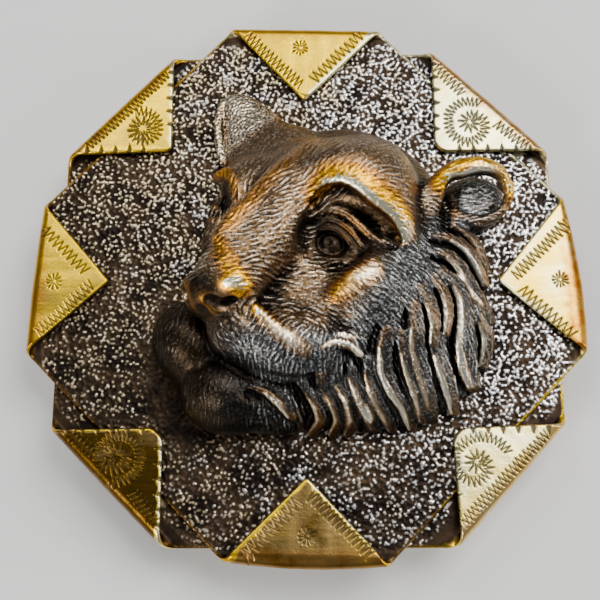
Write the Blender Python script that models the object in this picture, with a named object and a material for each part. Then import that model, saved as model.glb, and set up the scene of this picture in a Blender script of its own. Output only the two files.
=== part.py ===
"""Lion-head medallion buckle: two folded brass sheets, a cast head, a hinged bail and a hook.

The piece lies face up: +Z comes out of the face, +Y is the top of the head and +X its right
as seen from the front. z = 0 is the surface that the back hardware stands on. Lengths are in
millimetres here and are turned into metres when a mesh is made.
"""
import math

import bmesh
import bpy
from mathutils import Matrix, Vector

MM = 0.001

# Driving dimensions
MEDALLION_ACROSS = 80.0     # between opposite folded edges
SHEET = 0.8                 # brass sheet, 20 gauge
FIT_GAP = 0.3               # clearance between touching pieces
BACK_HEIGHT = 8.0           # underside of the back sheet above the rest surface
CORNER_REACH = 51.25        # centre to an unfolded corner of either square
FRONT_FOLD_RADIUS = 0.8     # middle of the sheet, corners folded onto their own sheet
BACK_FOLD_RADIUS = 1.1      # middle of the sheet, corners folded round the front sheet
FRONT_OVER_BEND = 0.045     # radians past a half turn, so that the tabs' points touch down
FRONT_TIP_RADIUS = 0.5
BACK_TIP_RADIUS = 2.0
STRAP_WIDTH = 38.0
STRAP_CLEARANCE = 0.5
WIRE = 3.0                  # bail wire diameter
HINGE_X = 21.0
BAIL_REACH = 14.0           # hinge axis to the middle of the bail's bar
HOOK_X = -24.0
SCREW_PLACES = ((-8.0, -12.0), (14.0, -4.0), (1.0, 15.0))

# Heights that follow from them
FRONT_HEIGHT = BACK_HEIGHT + SHEET + FIT_GAP
FACE = FRONT_HEIGHT + SHEET
HEAD_BASE = FACE + FIT_GAP
HINGE_Z = WIRE
BAIL_DROOP = math.asin((HINGE_Z - WIRE / 2) / BAIL_REACH)
LEG_Y = (STRAP_WIDTH + STRAP_CLEARANCE + WIRE) / 2

# Screws and washers that hold the head
SHANK_RADIUS = 1.5
SHANK_HOLE_RADIUS = SHANK_RADIUS + FIT_GAP
SHANK_IN_HEAD = 5.0
SCREW_HEAD_RADIUS = 2.75
SCREW_HEAD_HEIGHT = 1.6
SLOT_WIDTH = 0.8
SLOT_DEPTH = 0.7
WASHER_RADIUS = 3.5
WASHER_THICKNESS = 0.6

# Back hardware
FOOT_THICKNESS = 1.2
LUG_THICKNESS = 2.2
LUG_LENGTH = 12.0
LUG_FOOT_WIDTH = 6.0
EYE_RADIUS = 3.0
EYE_HOLE_RADIUS = WIRE / 2 + FIT_GAP
PIVOT_END_LENGTH = 0.9
HOOK_RADIUS = 2.0
HOOK_FOOT_RADIUS = 4.5

BRASS = (0.72, 0.50, 0.20)
DARK_BRASS = (0.20, 0.16, 0.11)
BRONZE = (0.23, 0.15, 0.08)


def clear_scene():
    for item in list(bpy.data.objects):
        bpy.data.objects.remove(item, do_unlink=True)


def metal(name, colour, roughness):
    material = bpy.data.materials.new(name)
    material.use_nodes = True
    shader = material.node_tree.nodes["Principled BSDF"]
    shader.inputs["Base Color"].default_value = (*colour, 1.0)
    shader.inputs["Roughness"].default_value = roughness
    shader.inputs["Metallic"].default_value = 1.0
    return material


def add_object(name, mesh_data, colour, roughness=0.35):
    item = bpy.data.objects.new(name, mesh_data)
    bpy.context.scene.collection.objects.link(item)
    item.data.materials.append(metal(name + "_metal", colour, roughness))
    return item


def mesh_from(name, work):
    """Turn a bmesh drawn in millimetres into a mesh in metres."""
    bmesh.ops.scale(work, vec=(MM, MM, MM), verts=work.verts)
    data = bpy.data.meshes.new(name)
    work.to_mesh(data)
    work.free()
    return data


def shade_round(item, sharp_degrees=35.0):
    item.data.shade_smooth()
    item.data.set_sharp_from_angle(angle=math.radians(sharp_degrees))


def cylinder(work, radius, low, high, x=0.0, y=0.0, sides=24):
    centre = Matrix.Translation((x, y, (low + high) / 2))
    bmesh.ops.create_cone(work, cap_ends=True, segments=sides, radius1=radius, radius2=radius,
                          depth=high - low, matrix=centre)


def box(work, low, high):
    size = Vector(high) - Vector(low)
    middle = (Vector(high) + Vector(low)) / 2
    place = Matrix.Translation(middle) @ Matrix.Diagonal((*size, 1.0))
    bmesh.ops.create_cube(work, size=1.0, matrix=place)


def cutter(name, work):
    item = bpy.data.objects.new(name, mesh_from(name, work))
    bpy.context.scene.collection.objects.link(item)
    item.hide_render = True
    item.display_type = "WIRE"
    return item


def boolean(item, tool, operation="DIFFERENCE"):
    change = item.modifiers.new(tool.name, "BOOLEAN")
    change.operation = operation
    change.object = tool
    change.solver = "EXACT"


def shank_hole_cutter():
    work = bmesh.new()
    for x, y in SCREW_PLACES:
        cylinder(work, SHANK_HOLE_RADIUS, BACK_HEIGHT - 1.0, HEAD_BASE + SHANK_IN_HEAD + FIT_GAP, x, y, 16)
    return cutter("shank_holes", work)


# Folded sheets

def fold_height(beyond, radius, over_bend):
    """Where a point of the corner lands: its reach from the fold's start, and its rise."""
    full_turn = math.pi + over_bend
    if beyond <= 0.0:
        return beyond, 0.0
    if beyond <= radius * full_turn:
        turn = beyond / radius
        return radius * math.sin(turn), radius * (1.0 - math.cos(turn))
    straight = beyond - radius * full_turn
    reach = radius * math.sin(full_turn) + straight * math.cos(full_turn)
    rise = radius * (1.0 - math.cos(full_turn)) + straight * math.sin(full_turn)
    return reach, rise


def folded_sheet(name, low, turn_degrees, radius, over_bend, tip_radius, colour):
    """A square sheet whose four corners are folded over onto its front."""
    fold_start = MEDALLION_ACROSS / 2 - SHEET / 2 - radius
    bend_length = radius * (math.pi + over_bend)
    bend_steps = 8
    tip_steps = 4
    tip_centre = CORNER_REACH - tip_radius * math.sqrt(2.0)
    rows = [fold_start + bend_length * step / bend_steps for step in range(bend_steps + 1)]
    half_widths = [CORNER_REACH - reach for reach in rows]
    work = bmesh.new()

    def vertex(corner, reach, side):
        along, rise = fold_height(reach - fold_start, radius, over_bend)
        place = Vector((fold_start + along, side, low + SHEET / 2 + rise))
        angle = math.radians(turn_degrees + 90.0 * corner)
        return work.verts.new(Matrix.Rotation(angle, 3, "Z") @ place)

    rim = []
    for corner in range(4):
        left = [vertex(corner, reach, -half) for reach, half in zip(rows, half_widths)]
        right = [vertex(corner, reach, half) for reach, half in zip(rows, half_widths)]
        for step in range(bend_steps):
            work.faces.new((left[step], left[step + 1], right[step + 1], right[step]))
        tip = []
        for step in range(tip_steps + 1):
            angle = math.radians(-45.0 + 90.0 * step / tip_steps)
            reach = tip_centre + tip_radius * math.cos(angle)
            tip.append(vertex(corner, reach, tip_radius * math.sin(angle)))
        work.faces.new((left[-1], *tip, right[-1]))
        rim += [left[0], right[0]]
    work.faces.new(rim)
    bmesh.ops.recalc_face_normals(work, faces=work.faces)
    item = add_object(name, mesh_from(name, work), colour)
    thick = item.modifiers.new("thickness", "SOLIDIFY")
    thick.thickness = SHEET * MM
    thick.offset = 0.0
    thick.use_even_offset = True
    shade_round(item)
    return item


# The cast head: rounded masses that are fused, smoothed and cut flat at the back.
# Every mass is (x, y, height above the face), its half-sizes and its turn in degrees.

HEAD_MASSES = (
    ((5.0, 5.0, -2.0), (17.5, 19.4, 12.6), 0.0),        # skull
    ((-1.5, 12.0, 3.0), (8.5, 9.0, 9.4), 0.0),          # forehead
    ((0.0, -1.5, 2.0), (14.5, 13.5, 11.0), 0.0),        # face
    ((10.0, -4.5, 3.2), (10.5, 10.5, 9.4), 0.0),        # near cheek
    ((14.5, -5.0, 0.0), (12.0, 14.5, 8.6), 0.0),        # mane
    ((6.0, -14.0, 0.0), (15.5, 8.0, 7.8), 0.0),         # throat and beard
    ((-11.0, 4.0, 2.0), (4.2, 9.0, 6.2), 0.0),          # far cheek
    ((-9.2, -3.4, 13.2), (3.2, 2.8, 4.2), -30.0),       # near nostril's wing
    ((-12.9, -4.7, 12.4), (4.2, 3.2, 4.2), -35.0),      # nose pad
    ((-3.6, -10.2, 7.6), (9.2, 5.8, 6.6), -10.0),       # near whisker pad
    ((-9.2, -8.4, 9.2), (4.4, 4.4, 4.8), 0.0),          # pad under the nose
    ((-16.4, -9.4, 2.8), (5.4, 6.2, 6.2), 20.0),        # far whisker pad
    ((-11.6, -16.6, 2.8), (6.4, 5.6, 7.0), -15.0),      # chin
    ((-4.0, -18.0, 1.6), (7.5, 4.2, 5.6), 0.0),         # underlip
    ((24.6, 11.4, 0.2), (5.0, 4.3, 4.2), 10.0),         # near ear's back
    ((-5.6, 20.6, -1.4), (6.8, 4.8, 4.8), -30.0),       # far ear's root
    ((-9.0, 23.4, -1.0), (4.2, 4.8, 3.6), 0.0),         # far ear
    ((-10.6, 26.2, -1.0), (2.6, 3.2, 3.0), 0.0),        # far ear's tip
)

# Each ridge is a row of (x, y, height, radius), filled with balls from end to end.
HEAD_RIDGES = (
    ((0.2, 13.4, 8.2, 5.4), (-2.2, 8.2, 11.0, 5.2), (-6.2, 2.2, 12.4, 5.2), (-10.2, -2.2, 12.8, 4.9)),
    ((-7.8, -6.0, 13.6, 1.0), (-5.0, -8.6, 13.4, 1.3), (0.4, -11.6, 12.0, 1.4), (7.0, -11.6, 10.2, 1.3)),
    ((1.2, -6.2, 11.0, 1.2), (4.4, -4.4, 12.6, 1.8), (7.4, -2.0, 12.8, 2.2), (10.0, 0.2, 11.4, 1.6)),
    ((-7.4, 14.2, 8.8, 1.4), (-10.0, 12.2, 9.6, 1.7), (-11.4, 8.8, 9.6, 1.4)),
    ((17.6, 11.0, 4.6, 2.0), (19.4, 13.2, 5.8, 1.9), (22.0, 14.8, 6.8, 2.1), (25.0, 15.4, 7.0, 2.1),
     (27.6, 15.0, 6.4, 1.6), (28.8, 13.2, 5.6, 1.2), (29.0, 11.0, 4.8, 1.2), (26.6, 8.6, 4.2, 1.2),
     (22.6, 8.2, 4.2, 1.3)),
    ((17.0, 3.4, 7.2, 1.0), (20.6, 2.2, 6.8, 1.3), (24.2, -1.4, 5.4, 1.2), (26.8, -6.4, 2.6, 1.1)),
    ((16.8, 0.8, 8.2, 1.1), (20.4, -1.0, 7.6, 1.4), (24.0, -5.6, 5.8, 1.4), (26.2, -11.2, 2.6, 1.1)),
    ((15.6, -2.2, 9.0, 1.1), (18.8, -4.6, 8.2, 1.4), (21.4, -9.0, 6.6, 1.5), (22.6, -15.0, 3.4, 1.8)),
    ((13.4, -5.2, 9.4, 1.1), (16.0, -9.2, 8.1, 1.3), (17.9, -13.8, 6.2, 1.4), (19.6, -19.0, 2.6, 1.2)),
    ((11.2, -7.6, 9.4, 1.1), (13.4, -12.0, 8.0, 1.3), (15.0, -16.8, 5.6, 1.3), (16.6, -20.6, 2.4, 1.1)),
    ((8.8, -10.2, 9.4, 1.1), (9.8, -14.6, 7.8, 1.3), (11.6, -18.6, 5.0, 1.3), (13.6, -21.4, 2.2, 1.1)),
    ((4.6, -14.2, 8.8, 1.0), (6.4, -17.2, 6.8, 1.2), (8.0, -19.6, 4.6, 1.3), (8.4, -21.2, 2.2, 1.1)),
    ((1.0, -15.8, 8.4, 1.0), (2.8, -18.2, 6.6, 1.2), (3.8, -20.6, 3.8, 1.1), (3.6, -21.6, 2.0, 1.0)),
    ((-5.8, -16.9, 8.6, 0.9), (-3.9, -18.0, 7.8, 1.4), (-2.0, -18.8, 6.4, 1.0)),
)

# Hollows are carved out of the fused head.
HEAD_PITS = (
    ((4.6, 3.7, 14.0), (5.4, 4.4, 4.4), -20.0),         # near eye socket
    ((1.0, -2.4, 15.4), (5.8, 3.6, 3.4), 35.0),         # under the eye
    ((-13.8, 9.6, 7.8), (1.9, 3.2, 3.4), 0.0),          # far eye socket
    ((-16.1, -5.1, 13.4), (1.3, 1.4, 1.8), 0.0),        # far nostril
    ((25.2, 11.2, 6.4), (3.6, 2.6, 4.2), 10.0),         # near ear's bowl
)
HEAD_GROOVES = (
    ((-9.6, -6.0, 15.4, 0.9), (-10.8, -6.8, 15.6, 1.2), (-12.4, -6.2, 16.2, 0.9)),
    ((-13.8, -7.6, 15.2, 0.9), (-12.6, -11.6, 12.6, 1.0), (-10.4, -14.2, 11.6, 1.3),
     (-5.0, -16.3, 10.6, 1.4), (1.0, -16.6, 9.8, 1.3), (5.6, -14.6, 9.6, 1.0)),
)

# What stands inside the hollows: brow, eyeballs and lids.
HEAD_INSETS = (
    ((4.2, 3.3, 9.4), (2.8, 2.5, 2.8), 0.0),
    ((-13.4, 9.0, 5.2), (1.6, 1.8, 2.0), 0.0),
)
HEAD_INSET_RIDGES = (
    ((-0.8, 5.0, 12.4, 1.5), (0.7, 8.4, 13.8, 1.9), (3.8, 10.8, 15.0, 2.1), (7.6, 11.0, 14.9, 2.4),
     (11.0, 9.2, 13.6, 2.6), (12.9, 6.0, 11.6, 2.3), (12.4, 3.0, 9.8, 1.3)),
    ((-0.6, 3.2, 11.0, 0.8), (1.2, 5.8, 12.2, 0.9), (4.2, 7.2, 12.7, 1.0), (7.6, 6.0, 12.1, 1.0),
     (10.6, 2.6, 11.0, 0.8)),
)

HEAD_VOXEL = 0.6
HEAD_SMOOTHING = 5
HEAD_KEEP = 0.17
CAVITY_CENTRE = (2.0, 1.0)
CAVITY_HALF_SIZE = (9.5, 8.0, 7.0)


def ball(work, place, half_size, turn=0.0, fineness=3):
    matrix = Matrix.Translation((place[0], place[1], FACE + place[2]))
    matrix = matrix @ Matrix.Rotation(math.radians(turn), 4, "Z") @ Matrix.Diagonal((*half_size, 1.0))
    bmesh.ops.create_icosphere(work, subdivisions=fineness, radius=1.0, matrix=matrix)


def ridge(work, knots):
    for start, end in zip(knots, knots[1:]):
        start = Vector(start)
        end = Vector(end)
        count = max(2, math.ceil((end - start).length / (0.45 * min(start[3], end[3]))))
        for step in range(count + 1):
            x, y, height, radius = start.lerp(end, step / count)
            ball(work, (x, y, height), (radius, radius, radius), 0.0, 2)


def fuse(item):
    """Turn overlapping balls into one skin."""
    change = item.modifiers.new("fuse", "REMESH")
    change.mode = "VOXEL"
    change.voxel_size = HEAD_VOXEL * MM
    change.use_smooth_shade = True


def head_body(name, masses, ridges):
    work = bmesh.new()
    for place, half_size, turn in masses:
        ball(work, place, half_size, turn)
    for knots in ridges:
        ridge(work, knots)
    return mesh_from(name, work)


def head_tool(name, masses, ridges):
    tool = bpy.data.objects.new(name, head_body(name, masses, ridges))
    bpy.context.scene.collection.objects.link(tool)
    tool.hide_render = True
    tool.display_type = "WIRE"
    fuse(tool)
    return tool


def lion_head(holes):
    item = add_object("lion_head", head_body("lion_head", HEAD_MASSES, HEAD_RIDGES), BRONZE, 0.38)
    fuse(item)
    boolean(item, head_tool("head_hollows", HEAD_PITS, HEAD_GROOVES))
    boolean(item, head_tool("head_insets", HEAD_INSETS, HEAD_INSET_RIDGES), "UNION")
    fuse(item)
    smooth = item.modifiers.new("smooth", "SMOOTH")
    smooth.factor = 0.5
    smooth.iterations = HEAD_SMOOTHING
    thin = item.modifiers.new("thin", "DECIMATE")
    thin.ratio = HEAD_KEEP
    reach = MEDALLION_ACROSS / 2
    below = bmesh.new()
    box(below, (-reach, -reach, FACE - reach), (reach, reach, HEAD_BASE))
    boolean(item, cutter("head_base_plane", below))
    cavity = bmesh.new()
    ball(cavity, (*CAVITY_CENTRE, FIT_GAP), CAVITY_HALF_SIZE, 0.0, 2)
    boolean(item, cutter("head_cavity", cavity))
    boolean(item, holes)


# Screws and washers

def head_screw(number, x, y):
    washer_low = BACK_HEIGHT - FIT_GAP - WASHER_THICKNESS
    head_top = washer_low - FIT_GAP
    head_low = head_top - SCREW_HEAD_HEIGHT
    shank_top = HEAD_BASE + SHANK_IN_HEAD
    profile = ((0.0, shank_top), (SHANK_RADIUS - 0.3, shank_top), (SHANK_RADIUS, shank_top - 0.3),
               (SHANK_RADIUS, head_top), (SCREW_HEAD_RADIUS - 0.2, head_top),
               (SCREW_HEAD_RADIUS, head_top - 0.2), (SCREW_HEAD_RADIUS, head_low + 0.5),
               (SCREW_HEAD_RADIUS - 0.5, head_low), (0.0, head_low))
    name = f"head_screw_{number}"
    item = add_object(name, turned(name, profile), BRASS, 0.3)
    item.location = (x * MM, y * MM, 0.0)
    slot = bmesh.new()
    box(slot, (x - SCREW_HEAD_RADIUS - 1.0, y - SLOT_WIDTH / 2, head_low - 1.0),
        (x + SCREW_HEAD_RADIUS + 1.0, y + SLOT_WIDTH / 2, head_low + SLOT_DEPTH))
    boolean(item, cutter(f"slot_{number}", slot))
    shade_round(item)


def turned(name, profile, sides=20):
    """A closed body of revolution about Z; the profile's first and last points are on the axis."""
    work = bmesh.new()
    top = work.verts.new((0.0, 0.0, profile[0][1]))
    bottom = work.verts.new((0.0, 0.0, profile[-1][1]))
    rings = []
    for radius, height in profile[1:-1]:
        ring = []
        for side in range(sides):
            angle = 2.0 * math.pi * side / sides
            ring.append(work.verts.new((radius * math.cos(angle), radius * math.sin(angle), height)))
        rings.append(ring)
    for side in range(sides):
        after = (side + 1) % sides
        work.faces.new((top, rings[0][side], rings[0][after]))
        for upper, lower in zip(rings, rings[1:]):
            work.faces.new((upper[side], lower[side], lower[after], upper[after]))
        work.faces.new((rings[-1][side], bottom, rings[-1][after]))
    bmesh.ops.recalc_face_normals(work, faces=work.faces)
    return mesh_from(name, work)


def head_washer(number, x, y):
    high = BACK_HEIGHT - FIT_GAP
    low = high - WASHER_THICKNESS
    work = bmesh.new()
    cylinder(work, WASHER_RADIUS, low, high, x, y)
    name = f"head_washer_{number}"
    item = add_object(name, mesh_from(name, work), BRASS, 0.3)
    bore = bmesh.new()
    cylinder(bore, SHANK_HOLE_RADIUS, low - 1.0, high + 1.0, x, y, 16)
    boolean(item, cutter(f"washer_bore_{number}", bore))
    shade_round(item)


# Hinge lugs, bail and hook

def hinge_lug(name, side):
    """A brazed foot with an upright eye; side is +1 or -1 along Y."""
    foot_high = BACK_HEIGHT - FIT_GAP
    foot_low = foot_high - FOOT_THICKNESS
    inner = side * (LEG_Y + WIRE / 2 + FIT_GAP)
    outer = inner + side * LUG_THICKNESS
    foot_inner = outer - side * LUG_FOOT_WIDTH
    half = LUG_LENGTH / 2
    work = bmesh.new()
    box(work, (HINGE_X - half, min(foot_inner, outer), foot_low),
        (HINGE_X + half, max(foot_inner, outer), foot_high))
    item = add_object(name, mesh_from(name, work), BRASS)

    upright = bmesh.new()
    outline = [(EYE_RADIUS * math.cos(a), EYE_RADIUS * math.sin(a))
               for a in (math.pi + math.pi * step / 12 for step in range(13))]
    outline = [(-half + 1.0, foot_low - HINGE_Z + FOOT_THICKNESS / 2)] + outline
    outline += [(half - 1.0, foot_low - HINGE_Z + FOOT_THICKNESS / 2)]
    near = [upright.verts.new((HINGE_X + x, inner, HINGE_Z + z)) for x, z in outline]
    face = upright.faces.new(near)
    grown = bmesh.ops.extrude_face_region(upright, geom=[face])
    moved = [part for part in grown["geom"] if isinstance(part, bmesh.types.BMVert)]
    bmesh.ops.translate(upright, vec=(0.0, outer - inner, 0.0), verts=moved)
    bmesh.ops.recalc_face_normals(upright, faces=upright.faces)
    boolean(item, cutter(name + "_upright", upright), "UNION")

    bore = bmesh.new()
    middle = (HINGE_X, (inner + outer) / 2, HINGE_Z)
    turn = Matrix.Translation(middle) @ Matrix.Rotation(math.pi / 2, 4, "X")
    bmesh.ops.create_cone(bore, cap_ends=True, segments=20, radius1=EYE_HOLE_RADIUS,
                          radius2=EYE_HOLE_RADIUS, depth=LUG_THICKNESS + 2.0, matrix=turn)
    boolean(item, cutter(name + "_eye", bore))
    shade_round(item)


def arc(centre, radius, start_degrees, end_degrees, steps):
    angles = [math.radians(start_degrees + (end_degrees - start_degrees) * step / steps)
              for step in range(steps + 1)]
    return [(centre[0] + radius * math.cos(a), centre[1] + radius * math.sin(a)) for a in angles]


def belt_bail():
    """One bent wire: two pivot ends, two legs and the bar that the strap goes round."""
    pivot_end = LEG_Y + WIRE / 2 + FIT_GAP + LUG_THICKNESS + FIT_GAP + PIVOT_END_LENGTH
    elbow = 2.2
    corner = 4.0
    upper = [(0.0, pivot_end)]
    upper += arc((elbow, LEG_Y + elbow), elbow, 180.0, 270.0, 5)
    upper += arc((BAIL_REACH - corner, LEG_Y - corner), corner, 90.0, 0.0, 6)
    lower = [(x, -y) for x, y in reversed(upper)]
    route = upper + lower
    wire = bpy.data.curves.new("belt_bail", "CURVE")
    wire.dimensions = "3D"
    wire.bevel_depth = WIRE / 2 * MM
    wire.bevel_resolution = 4
    wire.use_fill_caps = True
    spline = wire.splines.new("POLY")
    spline.points.add(len(route) - 1)
    for point, (x, y) in zip(spline.points, route):
        point.co = (x * MM, y * MM, 0.0, 1.0)
    spline.use_smooth = True
    item = add_object("belt_bail", wire, BRASS)

    hinge = bpy.data.objects.new("bail_hinge_axis", None)
    bpy.context.scene.collection.objects.link(hinge)
    hinge.location = (HINGE_X * MM, 0.0, HINGE_Z * MM)
    hinge.rotation_euler = (0.0, BAIL_DROOP, 0.0)
    item.parent = hinge


def hook_stud():
    foot_high = BACK_HEIGHT - FIT_GAP
    foot_low = foot_high - FOOT_THICKNESS
    work = bmesh.new()
    cylinder(work, HOOK_FOOT_RADIUS, foot_low, foot_high, HOOK_X, 0.0)
    item = add_object("hook_stud", mesh_from("hook_stud", work), BRASS)
    bend = 3.0
    route = [(HOOK_X, foot_high - 0.3)]
    route += [(x, z) for x, z in arc((HOOK_X - bend, HOOK_RADIUS + bend), bend, 0.0, -78.0, 7)]
    route += [(HOOK_X - bend - 1.6, HOOK_RADIUS + 0.25)]
    pin = bmesh.new()
    rings = []
    for index, (x, z) in enumerate(route):
        before = Vector(route[max(index - 1, 0)])
        after = Vector(route[min(index + 1, len(route) - 1)])
        along = (after - before).normalized()
        across = Vector((-along.y, along.x))
        radius = HOOK_RADIUS if index < len(route) - 1 else HOOK_RADIUS * 0.75
        ring = []
        for side in range(16):
            angle = 2.0 * math.pi * side / 16
            shift = across * (radius * math.cos(angle))
            ring.append(pin.verts.new((x + shift.x, radius * math.sin(angle), z + shift.y)))
        rings.append(ring)
    for first, second in zip(rings, rings[1:]):
        for side in range(16):
            after = (side + 1) % 16
            pin.faces.new((first[side], first[after], second[after], second[side]))
    pin.faces.new(rings[0])
    pin.faces.new(rings[-1])
    bmesh.ops.recalc_face_normals(pin, faces=pin.faces)
    boolean(item, cutter("hook_pin", pin), "UNION")
    shade_round(item)


def main():
    clear_scene()
    holes = shank_hole_cutter()
    back = folded_sheet("back_sheet", BACK_HEIGHT, 45.0, BACK_FOLD_RADIUS, 0.0, BACK_TIP_RADIUS, BRASS)
    front = folded_sheet("front_sheet", FRONT_HEIGHT, 0.0, FRONT_FOLD_RADIUS, FRONT_OVER_BEND,
                         FRONT_TIP_RADIUS, DARK_BRASS)
    boolean(back, holes)
    boolean(front, holes)
    lion_head(holes)
    for number, (x, y) in enumerate(SCREW_PLACES, start=1):
        head_screw(number, x, y)
        head_washer(number, x, y)
    hinge_lug("hinge_lug_upper", 1)
    hinge_lug("hinge_lug_lower", -1)
    belt_bail()
    hook_stud()


main()
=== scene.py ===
"""The looks of the lion-head medallion: tooled and matted brass sheets, a cast bronze head and hardware.

Every shape is drawn in millimetres, x to the right and y to the top of the head, and turned into metres
when its mesh is made. Heights on the head count from the front sheet's face. Lights are placed in metres.
"""
import math

import bpy
import numpy as np
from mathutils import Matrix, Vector
from mathutils.geometry import delaunay_2d_cdt


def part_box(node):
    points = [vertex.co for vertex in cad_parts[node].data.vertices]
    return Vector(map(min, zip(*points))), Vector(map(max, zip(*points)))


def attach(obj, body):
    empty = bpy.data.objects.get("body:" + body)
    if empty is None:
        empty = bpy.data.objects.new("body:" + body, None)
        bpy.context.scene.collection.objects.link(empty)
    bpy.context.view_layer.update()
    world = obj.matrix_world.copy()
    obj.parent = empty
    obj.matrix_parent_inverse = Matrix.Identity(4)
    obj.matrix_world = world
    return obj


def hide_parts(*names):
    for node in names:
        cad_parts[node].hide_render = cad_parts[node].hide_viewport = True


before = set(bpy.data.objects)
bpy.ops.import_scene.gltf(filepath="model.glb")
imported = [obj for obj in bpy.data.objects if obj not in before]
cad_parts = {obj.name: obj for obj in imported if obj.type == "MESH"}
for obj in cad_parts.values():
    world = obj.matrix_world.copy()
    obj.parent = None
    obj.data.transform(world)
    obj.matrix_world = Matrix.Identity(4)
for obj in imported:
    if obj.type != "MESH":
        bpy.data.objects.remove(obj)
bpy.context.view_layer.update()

MM = 0.001

# Sizes that the CAD settles
SHEET = 0.8
FIT_GAP = 0.3
HALF_ACROSS = 40.0
CORNER_REACH = 51.25
FRONT_FOLD_RADIUS = 0.8
BACK_FOLD_RADIUS = 1.1
FRONT_OVER_BEND = 0.045
SHANK_HOLE = 1.8
SHANK_HOLE_DEPTH = 5.6
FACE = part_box("lion_head")[0].z / MM - FIT_GAP
FRONT_LOW = FACE - SHEET
BACK_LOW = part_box("back_sheet")[0].z / MM


def box_middle(node):
    low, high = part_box(node)
    return (low + high) / 2 / MM


SCREW_PLACES = [tuple(box_middle(f"head_screw_{number}").xy) for number in (1, 2, 3)]


# Meshes and number grids

def make_mesh(name, points, faces, finish):
    """A smooth-shaded mesh from points in millimetres, with four finish values for each point."""
    data = bpy.data.meshes.new(name)
    data.from_pydata((np.asarray(points) * MM).tolist(), [], faces)
    data.validate()
    data.shade_smooth()
    layer = data.attributes.new("finish", "FLOAT_COLOR", "POINT")
    layer.data.foreach_set("color", np.asarray(finish, np.float32).ravel())
    item = bpy.data.objects.new(name, data)
    bpy.context.scene.collection.objects.link(item)
    return item


def smooth_step(low, high, value):
    share = np.clip((value - low) / (high - low), 0.0, 1.0)
    return share * share * (3.0 - 2.0 * share)


class Raster:
    """A square grid of values over the plane, centred on (0, 0) and read between its points."""

    def __init__(self, values, half, step):
        self.values = values
        self.half = half
        self.step = step

    def at(self, x, y):
        last = self.values.shape[0] - 1.001
        u = np.clip((x + self.half) / self.step, 0.0, last)
        v = np.clip((y + self.half) / self.step, 0.0, last)
        i = u.astype(int)
        j = v.astype(int)
        a = u - i
        b = v - j
        g = self.values
        near = g[i, j] * (1 - a) + g[i + 1, j] * a
        far = g[i, j + 1] * (1 - a) + g[i + 1, j + 1] * a
        return near * (1 - b) + far * b


def band_noise(seed, half, step, wave, spread):
    """Random relief whose bumps stand about one wave apart, from -1 to 1."""
    size = int(round(2 * half / step))
    white = np.random.default_rng(seed).standard_normal((size, size))
    turns = np.fft.fftfreq(size, step)
    radius = np.hypot(turns[:, None], turns[None, :])
    keep = np.exp(-((radius - 1.0 / wave) * wave / spread) ** 2)
    values = np.fft.ifft2(np.fft.fft2(white) * keep).real
    return Raster(np.clip(values / values.std() / 2.2, -1.0, 1.0), half, step)


# The folded sheets are drawn unfolded, with their corners on the axes, then bent over and turned into place.

FINE_FACE = 0.25
FINE_TAB = 0.125
COARSE = 1.3
EDGE_STEP = 0.25
EDGE_ROUNDING = 0.3
HOLE_SIDES = 24
TAB_FROM = -2.8


def hex_points(step):
    """Evenly spread points over the whole unfolded sheet."""
    rows = np.arange(-CORNER_REACH, CORNER_REACH, step * math.sqrt(0.75))
    line = np.arange(-CORNER_REACH, CORNER_REACH, step)
    x, y = np.meshgrid(line, rows)
    x = x + np.where(np.arange(len(rows)) % 2, step / 2, 0.0)[:, None]
    return np.stack([x.ravel(), y.ravel()], 1)


def rotate(points, turn_degrees):
    c = math.cos(math.radians(turn_degrees))
    s = math.sin(math.radians(turn_degrees))
    return np.stack([points[:, 0] * c - points[:, 1] * s, points[:, 0] * s + points[:, 1] * c], 1)


def sheet_outline(corners):
    """The unfolded sheet's edge, counter-clockwise, each corner rounded to its own radius."""
    arcs = []
    for number, corner in enumerate(corners):
        tip = corner["tip"]
        angles = np.radians(np.linspace(-45.0, 45.0, 4 + int(8 * tip)))
        middle = corner["apex"] - tip * math.sqrt(2.0)
        arc = np.stack([middle + tip * np.cos(angles), corner["shift"] + tip * np.sin(angles)], 1)
        arcs.append(rotate(arc, 90.0 * number))
    points = []
    for number in range(4):
        points += list(arcs[number])
        a = arcs[number][-1]
        b = arcs[(number + 1) % 4][0]
        count = int(np.linalg.norm(b - a) / EDGE_STEP)
        points += [a + (b - a) * step / count for step in range(1, count)]
    return np.array(points)


def edge_distance(points, corners):
    """How far each point of the unfolded sheet is from its nearest edge."""
    outline = sheet_outline(corners)
    distance = np.full(len(points), 99.0)
    for a, b in zip(outline, np.roll(outline, -1, axis=0)):
        if np.linalg.norm(b - a) > 1e-6:
            along = (b - a) / np.linalg.norm(b - a)
            inward = (points[:, 1] - a[1]) * along[0] - (points[:, 0] - a[0]) * along[1]
            distance = np.minimum(distance, inward)
    return distance


def triangulate(points, loops):
    edges = []
    for loop in loops:
        edges += [(int(a), int(b)) for a, b in zip(loop, np.roll(loop, -1))]
    vectors = [Vector(point) for point in points]
    _, _, faces, sources, _, _ = delaunay_2d_cdt(vectors, edges, [], 2, 1e-6)
    original = np.array([source[0] for source in sources])
    return original[np.array(faces)]


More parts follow.
